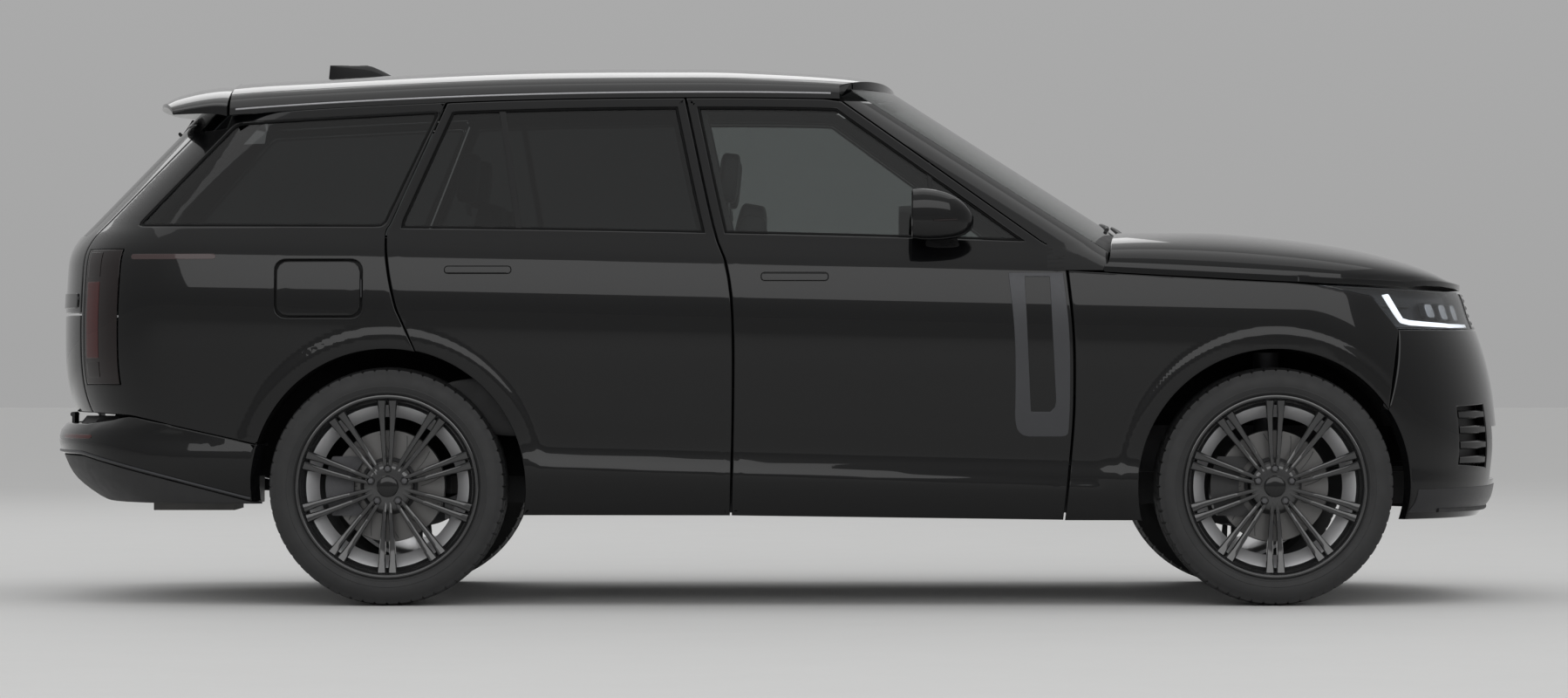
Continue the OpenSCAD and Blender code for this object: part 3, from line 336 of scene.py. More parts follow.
def clearPane(name, tint, rough):
    # tinted glass: seen through, with more shine toward grazing sight
    mat, tree, link = newMaterial(name)
    tree.nodes.remove(tree.nodes["Principled BSDF"])
    through = newNode(tree, "BsdfTransparent", {"Color": (*tint, 1)})
    shine = newNode(tree, "BsdfGlossy")
    where = newNode(tree, "TexCoord")
    smear = newNode(tree, "TexNoise", {"Scale": 14})
    span = newNode(tree, "MapRange", {"To Min": rough * 0.6, "To Max": rough * 1.4})
    link(where.outputs["Object"], smear.inputs["Vector"])
    link(smear.outputs["Fac"], span.inputs["Value"])
    link(span.outputs["Result"], shine.inputs["Roughness"])
    facing = newNode(tree, "LayerWeight")
    power = newNode(tree, "Math", {1: 5})
    power.operation = "POWER"
    share = newNode(tree, "MapRange", {"To Min": 0.04})
    mixer = newNode(tree, "MixShader")
    link(facing.outputs["Facing"], power.inputs[0])
    link(power.outputs["Value"], share.inputs["Value"])
    link(share.outputs["Result"], mixer.inputs["Fac"])
    link(through.outputs["BSDF"], mixer.inputs[1])
    link(shine.outputs["BSDF"], mixer.inputs[2])
    link(mixer.outputs["Shader"], tree.nodes["Material Output"].inputs["Surface"])
    return mat


coat = {"Coat Weight": 1.0, "Coat Roughness": 0.02, "Coat IOR": 1.4, "Specular IOR Level": 0.05}
peel = (240, 0.03, 0.0004, 2)
fine = (900, 0.25, 0.0004, 3)
blackPaint = finish("blackPaint", (0.0022, 0.0023, 0.0026), 0.24, sockets=coat, grain=peel)
glossBlack = finish("glossBlack", (0.003, 0.0031, 0.0034), 0.10, sockets={"Specular IOR Level": 0.45},
                    grain=(160, 0.02, 0.0003, 2))
satinTrim = finish("satinTrim", (0.06, 0.061, 0.065), 0.37, sockets={"Metallic": 0.7}, grain=fine,
                   roughScale=90)
brightTrim = finish("brightTrim", (0.33, 0.33, 0.34), 0.22, sockets={"Metallic": 1.0}, grain=fine,
                    roughScale=70)
darkPlastic = finish("darkPlastic", (0.017, 0.017, 0.018), 0.55, grain=(700, 0.5, 0.0006, 2))
liningCloth = finish("liningCloth", (0.035, 0.035, 0.037), 0.92, grain=(1500, 0.6, 0.0007, 2),
                     sockets={"Sheen Weight": 0.25})
carpet = finish("carpet", (0.022, 0.022, 0.023), 0.95, grain=(420, 0.9, 0.002, 6),
                sockets={"Sheen Weight": 0.4})
leather = finish("leather", (0.034, 0.033, 0.034), 0.46, cells=True, grain=(420, 0.35, 0.0007, 2), spread=0.2,
                 sockets={"Sheen Weight": 0.08})
stitchThread = finish("stitchThread", (0.13, 0.13, 0.13), 0.7, grain=(1200, 0.6, 0.0004, 2))
rubber = finish("rubber", (0.017, 0.0172, 0.0178), 0.62, grain=(380, 0.35, 0.0007, 5),
                spread=0.22, driftScale=9)
sealRubber = finish("sealRubber", (0.0035, 0.0035, 0.0037), 0.8, sockets={"Specular IOR Level": 0.2},
                    grain=fine)
archFelt = finish("archFelt", (0.006, 0.006, 0.0062), 0.95, sockets={"Specular IOR Level": 0.15},
                  grain=(500, 0.7, 0.001, 5))
skidTrim = finish("skidTrim", (0.026, 0.026, 0.028), 0.32, sockets={"Metallic": 0.4}, grain=fine,
                  roughScale=80)
rimBlack = finish("rimBlack", (0.016, 0.0162, 0.0168), 0.13,
                  sockets={"Coat Weight": 0.8, "Coat Roughness": 0.03}, grain=(300, 0.03, 0.0003, 2))
# inner barrel: bright metal whose colour is raised to a light grey, partly its own bright finish and partly
# painted light for the light from above on the lower barrel
barrelMetalPaintedLight = finish("barrelMetalPaintedLight", (0.62, 0.62, 0.63), 0.34, sockets={"Metallic": 0.45}, grain=fine,
                     roughScale=60)
discSteel = finish("discSteel", (0.14, 0.138, 0.136), 0.36, sockets={"Metallic": 1.0}, roughScale=160,
                   grain=(600, 0.3, 0.0004, 2))
castMetal = finish("castMetal", (0.10, 0.10, 0.105), 0.58, sockets={"Metallic": 0.7}, spread=0.3,
                   grain=(260, 0.7, 0.0012, 5))
caliperPaint = finish("caliperPaint", (0.020, 0.020, 0.021), 0.36, grain=(320, 0.3, 0.0007, 2))
pressedSteel = finish("pressedSteel", (0.024, 0.024, 0.026), 0.5, sockets={"Metallic": 0.2}, spread=0.25,
                      grain=(200, 0.4, 0.001, 2))
exhaustSteel = finish("exhaustSteel", (0.10, 0.098, 0.096), 0.45, sockets={"Metallic": 1.0}, spread=0.3,
                      grain=fine)
tintFront = clearPane("tintFront", (0.60, 0.62, 0.615), 0.012)
tintRear = clearPane("tintRear", (0.33, 0.34, 0.34), 0.012)
tintScreen = clearPane("tintScreen", (0.72, 0.74, 0.735), 0.012)
lampCover = clearPane("lampCover", (0.90, 0.91, 0.92), 0.02)
lampInside = finish("lampInside", (0.05, 0.052, 0.056), 0.25, sockets={"Metallic": 0.6}, grain=fine)
lampLens = finish("lampLens", (0.55, 0.57, 0.60), 0.05, sockets={"Metallic": 0.5, "Coat Weight": 1.0},
                  grain=fine)
dayLight = finish("dayLight", (0.92, 0.94, 0.97), 0.3, spread=0.02, sockets={
    "Emission Color": (0.93, 0.96, 1, 1), "Emission Strength": 1.0}, grain=(500, 0.2, 0.0005, 2))
smokedLens = finish("smokedLens", (0.008, 0.004, 0.004), 0.06, sockets=coat, spread=0.15,
                    grain=(700, 0.12, 0.0005, 2))
markerLens = finish("markerLens", (0.055, 0.036, 0.036), 0.22, sockets=coat,
                    grain=(500, 0.2, 0.0005, 2))
redLens = finish("redLens", (0.050, 0.003, 0.003), 0.08, sockets=coat, grain=(600, 0.2, 0.0006, 2))
mirrorGlass = finish("mirrorGlass", (0.72, 0.73, 0.75), 0.03, spread=0.02, sockets={"Metallic": 1.0})
screenFace = finish("screenFace", (0.006, 0.006, 0.008), 0.06, sockets={"Coat Weight": 1.0},
                    grain=(300, 0.02, 0.0002, 2))
print("materials made")


# mesh helpers: points in millimetres in, metres out
def makeMesh(name, points, faces, mats, faceMats=None):
    mesh = bpy.data.meshes.new(name)
    mesh.from_pydata((np.asarray(points, float) / 1000).tolist(), [], [list(map(int, f)) for f in faces])
    for mat in mats if isinstance(mats, (list, tuple)) else [mats]:
        mesh.materials.append(mat)
    if faceMats is not None:
        mesh.polygons.foreach_set("material_index", np.asarray(faceMats, np.int32))
    mesh.validate()
    weld = bmesh.new()  # joined seams, faces all turned outward
    weld.from_mesh(mesh)
    bmesh.ops.remove_doubles(weld, verts=weld.verts, dist=2e-5)
    bmesh.ops.dissolve_degenerate(weld, edges=weld.edges, dist=1e-6)
    bmesh.ops.recalc_face_normals(weld, faces=weld.faces)
    weld.to_mesh(mesh)
    weld.free()
    mesh.shade_smooth()
    mesh.update()
    obj = bpy.data.objects.new(name, mesh)
    scene.collection.objects.link(obj)
    return obj


class Sheet:
    # gathers points and faces of one piece before the mesh is made
    def __init__(self):
        self.points, self.faces, self.mats = [], [], []

    def add(self, points, faces, mat=0, flip=False):
        start = len(self.points)
        self.points.extend(np.asarray(points, float).reshape(-1, 3).tolist())
        for f in faces:
            f = [start + int(i) for i in f]
            self.faces.append(f[::-1] if flip else f)
            self.mats.append(mat)

    def grid(self, rows, mat=0, flip=False, closeU=False, closeV=False):
        rows = np.asarray(rows, float)
        r, c = rows.shape[:2]
        faces = [(i * c + j, (i + 1) % r * c + j, (i + 1) % r * c + (j + 1) % c, i * c + (j + 1) % c)
                 for i in range(r if closeU else r - 1) for j in range(c if closeV else c - 1)]
        self.add(rows, faces, mat, flip)

    def bar(self, rows, mat=0):
        # a closed bar: each row runs along it, and both ends are capped
        rows = np.asarray(rows, float)
        self.grid(rows, mat, closeU=True)
        for end in (0, -1):
            self.add(rows[:, end], [range(len(rows))], mat)

    def rings(self, rows, mat=0):
        # a closed tube: each row is a ring round it, and both ends are capped
        rows = np.asarray(rows, float)
        self.grid(rows, mat, closeV=True)
        for end in (0, -1):
            self.add(rows[end], [range(rows.shape[1])], mat)

    def join(self, other):
        start = len(self.points)
        self.points += other.points
        self.faces += [[i + start for i in f] for f in other.faces]
        self.mats += other.mats

    def mirrored(self):
        # the same again on the other side of the car
        self.join(self.otherSide())
        return self

    def otherSide(self):
        s = Sheet()
        s.points = [[x, -y, z] for x, y, z in self.points]
        s.faces = [f[::-1] for f in self.faces]
        s.mats = list(self.mats)
        return s

    def piece(self, name, mats, body, slot, *nodes, sharp=None):
        obj = makeMesh(name, self.points, self.faces, mats, self.mats)
        if sharp:
            obj.data.set_sharp_from_angle(angle=math.radians(sharp))
            even = obj.modifiers.new("evenShade", "WEIGHTED_NORMAL")
            even.keep_sharp = True
        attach(obj, body)
        if nodes:
            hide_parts(*nodes)
        return obj


def evenLoop(outline, step, turn=25):
    # resamples a closed outline, keeps its sharp corners and leaves room beside them
    p = np.array(outline, float)
    p = p[np.hypot(*(p - np.roll(p, 1, 0)).T) > 0.3]
    if 0.5 * np.sum(p[:, 0] * np.roll(p[:, 1], -1) - np.roll(p[:, 0], -1) * p[:, 1]) < 0:
        p = p[::-1]
    a = p - np.roll(p, 1, 0)
    b = np.roll(p, -1, 0) - p
    bend = np.degrees(np.abs(np.arctan2(a[:, 0] * b[:, 1] - a[:, 1] * b[:, 0], (a * b).sum(1))))
    keep = np.flatnonzero(bend > turn)
    if not len(keep):
        keep = np.array([0])
    out = []
    for k, s in enumerate(keep):
        e = keep[(k + 1) % len(keep)]
        idx = np.arange(s, e + 1) if e > s else np.concatenate([np.arange(s, len(p)), np.arange(0, e + 1)])
        run = p[idx]
        d = np.concatenate([[0], np.cumsum(np.hypot(*np.diff(run, axis=0).T))])
        n = max(1, int(round(d[-1] / step)))
        at = np.linspace(0, d[-1], n + 1)[:-1]
        out.append(np.stack([np.interp(at, d, run[:, 0]), np.interp(at, d, run[:, 1])], 1))
    return np.concatenate(out)


def inset(loop, d):
    # moves a loop inwards (counter-clockwise loops) with mitred corners
    a = loop - np.roll(loop, 1, 0)
    b = np.roll(loop, -1, 0) - loop
    na = np.stack([-a[:, 1], a[:, 0]], 1) / np.maximum(np.hypot(*a.T), 1e-9)[:, None]
    nb = np.stack([-b[:, 1], b[:, 0]], 1) / np.maximum(np.hypot(*b.T), 1e-9)[:, None]
    m = na + nb
    m = m / np.maximum((m * m).sum(1) / 2, 0.35)[:, None]
    return loop + m * d


def inside(pts, loop):
    x, y = pts[:, 0][:, None], pts[:, 1][:, None]
    x0, y0 = loop[:, 0], loop[:, 1]
    x1, y1 = np.roll(x0, -1), np.roll(y0, -1)
    cross = (y0 > y) != (y1 > y)
    with np.errstate(divide="ignore", invalid="ignore"):
        hit = cross & (x < (x1 - x0) * (y - y0) / (y1 - y0) + x0)
    return hit.sum(1) % 2 == 1


def fill(loops, step, scale=(1, 1)):
    # triangles of the area inside the first loop and outside the others, with an even net of points
    lo, hi = loops[0].min(0), loops[0].max(0)
    sx, sy = step / scale[0], step / scale[1]
    gx, gy = np.meshgrid(np.arange(lo[0] + sx / 2, hi[0], sx), np.arange(lo[1] + sy / 2, hi[1], sy))
    net = np.stack([gx.ravel(), gy.ravel()], 1)
    ok = inside(net, loops[0])
    for loop in loops[1:]:
        ok &= ~inside(net, loop)
    net = net[ok]
    edgePts = np.concatenate(loops)
    s = np.array(scale, float)
    near = np.ones(len(net), bool)
    for k in range(0, len(net), 2000):
        d = np.hypot(*np.moveaxis((net[k:k + 2000, None] - edgePts[None]) * s, -1, 0)).min(1)
        near[k:k + 2000] = d > 0.55 * step
    net = net[near]
    pts = np.concatenate([edgePts, net])
    edges, at = [], 0
    for loop in loops:
        n = len(loop)
        edges += [(at + i, at + (i + 1) % n) for i in range(n)]
        at += n
    out = delaunay_2d_cdt([Vector(p) for p in pts * s], edges, [], 0, 1e-5)
    origin = [o[0] if o else -1 for o in out[3]]
    tris = np.array([[origin[i] for i in f] for f in out[2] if all(origin[i] >= 0 for i in f)])
    mid = pts[tris].mean(1)
    ok = inside(mid, loops[0])
    for loop in loops[1:]:
        ok &= ~inside(mid, loop)
    tris = tris[ok]
    p, q, r = pts[tris[:, 0]], pts[tris[:, 1]], pts[tris[:, 2]]
    area = (q[:, 0] - p[:, 0]) * (r[:, 1] - p[:, 1]) - (q[:, 1] - p[:, 1]) * (r[:, 0] - p[:, 0])
    tris = tris[np.abs(area) > 1e-7]
    area = area[np.abs(area) > 1e-7]
    tris[area < 0] = tris[area < 0][:, ::-1]
    return pts, tris


def panel(sheet, outline, place, thick, holes=(), step=22, roll=4, rim=None, scale=(1, 1), mat=0,
          backMat=None, lipMat=None):
    # a closed panel: skin, rolled edges, flanges and back. rim = (flange depth, step in) for a door.
    lipMat = mat if lipMat is None else lipMat
    backMat = mat if backMat is None else backMat
    sc = np.array(scale, float)
    loops = [evenLoop(np.array(outline) * sc, step)] + [evenLoop(np.array(h) * sc, step) for h in holes]
    deep = rim[1] + 4 if rim else roll
    bodyLoops = [inset(loops[0], deep)] + [inset(h, -roll) for h in loops[1:]]
    pts, tris = fill([b / sc for b in bodyLoops], step, scale)
    tAt = thick if callable(thick) else (lambda x, z: thick + 0 * x)
    x, z = pts[:, 0], pts[:, 1]
    sheet.add(place(x, z, 0 * x), tris, mat)
    sheet.add(place(x, z, tAt(x, z)), tris[:, ::-1], backMat)
    for k, loop in enumerate(loops):
        sign = 1 if k == 0 else -1
        arc = [(roll * (1 - math.sin(a)), roll * (1 - math.cos(a))) for a in np.radians([0, 30, 60, 90])]
        ring = ([(deep, 0)] if rim and k == 0 else []) + arc
        if rim and k == 0:
            ring += [(0, rim[0]), (rim[1], rim[0]), (rim[1], -3), (deep, -0.001)]
        else:
            ring += [(0, -min(roll, 3)), (roll, -0.001)]
        rows = []
        for d, t in ring:
            q = inset(loop, sign * d) / sc
            base = tAt(q[:, 0], q[:, 1])
            rows.append(place(q[:, 0], q[:, 1], base + t if t < 0 else np.minimum(t, base) + 0 * base))
        rows = np.array(rows)
        cut = len(ring) - (4 if rim and k == 0 else 2)
        sheet.grid(rows[:cut], mat, k == 0, closeV=True)
        sheet.grid(rows[cut - 1:], lipMat, k == 0, closeV=True)
    return loops


# side panels, drawn in side view on the left and mirrored to the right
gap = {"shut": 3.2, "glass": 1.2}
pillarFoot = (frontX - 783, beltZ - 19)
pillarTop = (frontX - 1459, railZ - 31)
lampFoot = frontX + 430
lampLow = beltZ - 313
lampLine = [(lampFoot - 8, lampLow), (frontX + 328, beltZ - 200),
            (frontX + 130, float(hoodLine(frontX + 130)) - 4)]


def frontDoorOutline(g):
    x1 = float(midLine(headRefZ)) + g
    return (lineUp(lambda z: frontLine(z) - g, float(sill(doorFrontX)), 1140)
            + [(float(frontLine(1140)) - g, beltZ - 60), (pillarFoot[0] - g, pillarFoot[1]),
               (pillarTop[0] - g, pillarTop[1] - g)]
            + lineAlong(lambda x: head(x) - g, pillarTop[0] - 60, x1)
            + lineUp(lambda z: midLine(z) + g, float(head(x1)) - g - 2, float(sill(doorMidX))))


def rearDoorOutline(g):
    x0, x1 = float(midLine(headRefZ)) - g, float(cLine(headRefZ)) + g
    return (lineUp(lambda z: midLine(z) - g, float(sill(doorMidX)), float(head(x0)) - g - 2)
            + lineAlong(lambda x: head(x) - g, x0 - 3, x1)
            + lineUp(lambda z: cLine(z) + g, float(head(x1)) - g - 2, 1000, n=40)
            + archArc(rearX, archR + g, 78, -12, 50))


def frontWindow(g):
    f, foot = windowFrame["width"] + g, windowFrame["foot"] + g
    a, b = ((p[0] - 0.58 * f, p[1] - 0.812 * f) for p in (pillarFoot, pillarTop))
    t = (float(belt(a[0])) + foot - a[1]) / (b[1] - a[1])
    x0 = mix(a[0], b[0], t)
    x1 = float(midLine(windowFrame["sightZ"])) + f
    return ([(x0, float(belt(x0)) + foot), b] + lineAlong(lambda x: head(x) - f, b[0] - 60, x1)
            + lineUp(lambda z: midLine(z) + f, float(head(x1)) - f - 3, 1270, n=14)
            + lineAlong(lambda x: belt(x) + foot, float(midLine(1260)) + f, x0 - 60, n=14))


def rearWindow(g):
    f, foot = windowFrame["width"] + g, windowFrame["foot"] + g
    x0, x1 = float(midLine(windowFrame["sightZ"])) - f, float(cLine(windowFrame["sightZ"])) + f
    return (lineUp(lambda z: midLine(z) - f, 1270, float(head(x0)) - f - 3, n=14)
            + lineAlong(lambda x: head(x) - f, x0, x1)
            + lineUp(lambda z: cLine(z) + f, float(head(x1)) - f - 3, 1300, n=14)
            + lineAlong(lambda x: belt(x) + foot, float(cLine(1290)) + f, float(midLine(1260)) - f, n=14))


doorDepth = {"frame": 44, "more": 76}


def doorThick(x, z):
    return doorDepth["frame"] + doorDepth["more"] * (1 - smooth(z, belt(x) - 45, belt(x) + 4))


def ventOutline(g):
    x = lambda d, z: float(frontLine(z)) + d
    return ([(x(-14 - g, z), z) for z in np.linspace(1124 - g, 600, 16)]
            + [(x(-34 - g, 600) + 20 * math.cos(a), 590 + g - 20 * math.sin(a))
               for a in np.radians([0, 30, 60, 90])]
            + [(x(-150, 600) - 44 * math.sin(a) + g, 614 + g - 44 * math.cos(a))
               for a in np.radians(np.linspace(0, 90, 9))]
            + [(x(-200 + g, z), z) for z in np.linspace(640, 1124 - g, 14)])


def roundRect(a, b, r, n=7):
    out = []
    for cx, cz, a0 in ((b[0] - r, b[1] - r, 0), (a[0] + r, b[1] - r, 90), (a[0] + r, a[1] + r, 180),
                       (b[0] - r, a[1] + r, 270)):
        out += [(cx + r * math.cos(t), cz + r * math.sin(t)) for t in np.radians(np.linspace(a0, a0 + 90, n))]
    return out


handles = {"frontDoor": ((-59, 1094), (171, 1126)), "rearDoor": ((-1126, 1118), (-897, 1147)), "round": 12}


def handleOn(sheet, box):
    # a flush handle: a dark parting line and a lightly crowned grip
    rim = roundRect(box[0], box[1], handles["round"])
    panel(sheet, rim, sunk(sidePt, -0.5), 4, step=9, roll=1.2, mat=2)
    mid = (box[0][1] + box[1][1]) / 2
    crownOf = lambda z: 1.3 + 1.4 * (1 - ((z - mid) / 18) ** 2)
    grip = roundRect((box[0][0] + 3, box[0][1] + 3), (box[1][0] - 3, box[1][1] - 3), handles["round"] - 3)
    panel(sheet, grip, lambda x, z, t: sidePt(x, z, t - crownOf(z)), 5, step=7, roll=1.4)


def armrestOn(sheet, x0, x1, z):
    # inner card of a door: padded armrest, pull cup and upper roll, on the door's inner face
    inner = lambda x, zz, t: np.stack([x, side(x, zz) - 120 - t, zz], -1)
    for low, high, out, mat in ((z - 40, z + 40, 52, 3), (z + 130, z + 190, 16, 3),
                                (z - 330, z - 120, 30, 1)):
        xs = np.linspace(x0, x1, 40)
        ring = fullTurn(24)
        rows = []
        for i, x in enumerate(xs):
            k = min(1, 4.0 * min(i, 39 - i) / 39 + 0.02) ** 0.4
            zc, h = (low + high) / 2, (high - low) / 2 * (0.6 + 0.4 * k)
            depth = out / 2 * (1 + bulge(np.cos(ring), 0.6)) * k - 3
            rows.append(inner(x + 0 * ring, zc + h * bulge(np.sin(ring), 0.6), depth))
        sheet.rings(rows, mat)


doorMats = [blackPaint, darkPlastic, sealRubber, leather, glossBlack]
windowSeal = {"width": 9, "depth": 5}
divider = {"front_door": (528, 510, 1500, 8), "rear_door": (-876, -942, 1688, 11)}


def sealAround(sheet, loop, place, depth, mat=2):
    # a black rubber bead along the edge of a window
    outer, inner = evenLoop(loop, 22), inset(evenLoop(loop, 22), windowSeal["width"])
    high, edge = -windowSeal["depth"], inset(outer, 0.6)
    section = ((edge, 3), (edge, high), (inset(outer, 5), high - 1.5), (inner, 0), (inner, 3))
    rows = [place(p[:, 0], p[:, 1], depth + t + 0 * p[:, 0]) for p, t in section]
    sheet.grid(rows, mat, closeU=True, closeV=True)


plainSide = lambda x, z, t: np.stack([x, side(x, z) - t, z], -1)


def buildDoors():
    for key, outline, window, card in (
            ("front_door", frontDoorOutline, frontWindow, (float(midLine(1000)) + 60, doorFrontX - 130)),
            ("rear_door", rearDoorOutline, rearWindow, (rearX + 190, doorMidX - 60))):
        s = Sheet()
        panel(s, outline(gap["shut"]), sidePt, doorThick, [window(0)], step=15, rim=(28, 14), backMat=1,
              lipMat=2)
        handleOn(s, handles["frontDoor" if key == "front_door" else "rearDoor"])
        armrestOn(s, card[0], card[1], 900)
        sealAround(s, window(0), plainSide, 10)
        foot, top, high, half = divider[key]  # upright bar that parts the glass
        bar = [(foot - half, float(belt(foot)) + 9), (foot + half, float(belt(foot)) + 9), (top + half, high),
               (top - half, high)]
        panel(s, bar, sunk(plainSide, 5), 4, step=20, roll=1.5, mat=4)
        g = Sheet()
        panel(g, window(gap["glass"]), sunk(plainSide, 10), glassT, step=30, roll=1.5)
        for tail, sheet, pane in (("left", s, g), ("right", s.otherSide(), g.otherSide())):
            body = f"{key}_{tail}"
            sheet.piece(f"{key}_{tail}_shell", doorMats, body, "paint", f"{key}_{tail}", sharp=38)
            node = ("front_glass_" if key == "front_door" else "rear_glass_") + tail
            pane.piece(f"{node}_pane", tintFront if key == "front_door" else tintRear, body, "glass", node,
                       sharp=30)
    print("doors made")


aperture = {"over": 12, "under": 24, "near": 47, "far": 57}


def buildAperture():
    # the seal on the body behind the doors' upper edge, along the pillar and under the rail
    path = [(mix(pillarFoot[0], pillarTop[0], k), mix(pillarFoot[1], pillarTop[1], k))
            for k in np.linspace(0.02, 1, 40)]
    path += lineAlong(head, pillarTop[0] - 40, float(cLine(headRefZ)) - 20, n=70)
    path = np.array(path)
    run = np.gradient(path, axis=0)
    up = np.stack([run[:, 1], -run[:, 0]], 1) / np.linalg.norm(run, axis=1, keepdims=True)
    rows = []
    for off, t in (("over", "near"), ("under", "near"), ("under", "far"), ("over", "far")):
        p = path + up * (aperture[off] if off == "over" else -aperture[off])
        rows.append(plainSide(p[:, 0], p[:, 1], aperture[t] + 0 * p[:, 0]))
    s = Sheet()
    s.bar(rows, 0)
    s.mirrored().piece("door_aperture_seals", sealRubber, "body", "trim", sharp=40)


ventTrim = {"proud": 3.0}


def buildVents():
    # upright trim on the front doors: a satin band with a dark open slot
    s = Sheet()
    slot = [(float(frontLine(min(z, 1140))) + d, z) for d, z in
            [(-62, 1110), (-62, 690), (-66, 670), (-80, 655), (-145, 655), (-145, 1110)]]
    panel(s, ventOutline(0.6), sunk(sidePt, -ventTrim["proud"]), 13, [slot], step=16, roll=1.6)
    panel(s, inset(evenLoop(slot, 16), -3),
          sunk(sidePt, 5), 3.5, step=16, roll=1, mat=1)
    for z in np.arange(700, 1090, 34):  # slats that lie back in the slot
        x0 = float(frontLine(z))
        xs = np.linspace(x0 - 144, x0 - 63, 8)
        section = ((0, 5.2), (3, 1.5), (7, 1.2), (20, 5.2))
        rows = [sidePt(xs, z + dz + 0 * xs, t + 0 * xs) for dz, t in section]
        s.grid(rows, 1, closeU=True)
    for tail, sheet in (("left", s), ("right", s.otherSide())):
        sheet.piece(f"vent_trim_{tail}", [satinTrim, darkPlastic], f"front_door_{tail}", "satin_trim",
                    f"door_vent_{tail}", sharp=35)


def fenderOutline(g):
    bottom = sillZ - 14
    x0 = frontX - math.sqrt(archR ** 2 - (axleZ - bottom) ** 2)
    a0 = math.degrees(math.atan2(bottom - axleZ, x0 - frontX)) % 360
    return (lineUp(lambda z: frontLine(z) + g, 1120, bottom) + archArc(frontX, archR, a0, 34, 60) + lampLine
            + lineAlong(hoodLine, frontX + 40, float(frontLine(1120)) + g))


def tailX(e):
    # the line down the tail's corner at a share of the half-width, in side view
    return lambda z: rearEnd(z) + tailR - tailR * reach(e, "tail")


def quarterOutline(g):
    zTop = 1611
    x1 = float(cLine(headRefZ)) - g
    return (lineUp(tailX(0.80), 648, zTop, n=60) + [(gateX - 12, float(head(gateX)) - 45)]
            + lineAlong(lambda x: head(x) - 0.8, gateX, x1)
            + lineUp(lambda z: cLine(z) - g, float(head(x1)) - 4, 1000, n=40)
            + archArc(rearX, archR, 78, 161, 50)
            + [(rearX - 449, 546), (-halfL + 325, 640)])


def quarterWindow(g):
    corners4 = [(rearX - 12 - g, float(belt(rearX)) + 12 + g), (rearX + 166 - g, float(head(-1150)) - 30 - g),
                (-halfL + 672 + g, float(head(-1836)) - 30 - g),
                (-halfL + 342 + g, float(belt(-2156)) + 12 + g)]
    out = []
    for i in range(4):  # rounded corners
        p, q, r = (np.array(corners4[(i + k) % 4]) for k in (-1, 0, 1))
        a, b = q + (p - q) / np.hypot(*(p - q)) * 22, q + (r - q) / np.hypot(*(r - q)) * 22
        out += [tuple((1 - t) ** 2 * a + 2 * t * (1 - t) * q + t * t * b) for t in np.linspace(0, 1, 9)]
    return out


def flapOutline(g):
    return roundRect((rearX - 377 + g, beltZ - 270 + g), (rearX - 86 - g, beltZ - 80 - g), 36)


lampBlock = {"low": beltZ - 500, "high": beltZ - 40, "inner": 0.825, "outer": 0.965}


def tailLampOutline(g):
    lo, hi = lampBlock["low"] - g, lampBlock["high"] + g
    inner, outer = tailX(lampBlock["inner"] - g / 700), tailX(lampBlock["outer"] + g / 700)
    return lineUp(inner, lo, hi, n=30) + lineUp(outer, hi, lo, n=30)


def quarterThick(x, z):
    return np.where(x < -halfL + 620, 42, 30) + 0 * z


archBand = {"low": 466, "high": 472, "inset": 34, "innerY": 812}


def buildSides():
    s = Sheet()
    panel(s, fenderOutline(gap["shut"]), bodyPt, 22, step=11, roll=4, backMat=1)
    s.mirrored().piece("fender_panels", [blackPaint, darkPlastic], "body", "paint", "fenders", sharp=38)
    s = Sheet()
    for right in (False, True):  # the fuel flap's well is on the right alone
        q = Sheet()
        holes = [quarterWindow(0), tailLampOutline(0.5)] + ([flapOutline(-gap["shut"])] if right else [])
        panel(q, quarterOutline(gap["shut"]), bodyPt, quarterThick, holes, step=13, backMat=1)
        sealAround(q, quarterWindow(0), bodyPt, 8, 2)
        if right:
            panel(q, flapOutline(-30), sunk(bodyPt, 30), 10, step=24, mat=1)
        s.join(q.otherSide() if right else q)
    s.piece("quarter_panels", [blackPaint, darkPlastic, sealRubber], "body", "paint", "quarters", sharp=38)
    g = Sheet()
    panel(g, quarterWindow(gap["glass"]), sunk(bodyPt, 8), glassT, step=30, roll=1.5)
    g.mirrored().piece("quarter_panes", tintRear, "body", "glass", "quarter_glass", sharp=30)
    f = Sheet()
    panel(f, flapOutline(gap["shut"]), bodyPt, 14, step=20, roll=3, backMat=1)
    f.otherSide().piece("fuel_flap_lid", [blackPaint, darkPlastic], "fuel_flap", "paint", "fuel_flap",
                        sharp=38)
    c = Sheet()  # felt band that closes each rear arch from its liner to the panel
    turn = np.radians(np.linspace(5, 174, 70))
    rows = []
    for radius, outer in (("low", True), ("high", True), ("high", False), ("low", False)):
        x, z = rearX + archBand[radius] * np.cos(turn), axleZ + archBand[radius] * np.sin(turn)
        rows.append(bodyPt(x, z, archBand["inset"] + 0 * x) if outer
                    else np.stack([x, archBand["innerY"] + 0 * x, z], -1))
    c.bar(rows, 0)
    c.mirrored().piece("rear_arch_covers", archFelt, "body", "liner", sharp=40)
    m = Sheet()  # slim reflector strip on the rear quarters
    panel(m, roundRect((-2195, 1170), (-1902, 1188), 6), sunk(bodyPt, -1.6), 3, step=10, roll=1)
    m.mirrored().piece("side_markers", markerLens, "body", "lamp_red", sharp=35)
    print("side panels made")


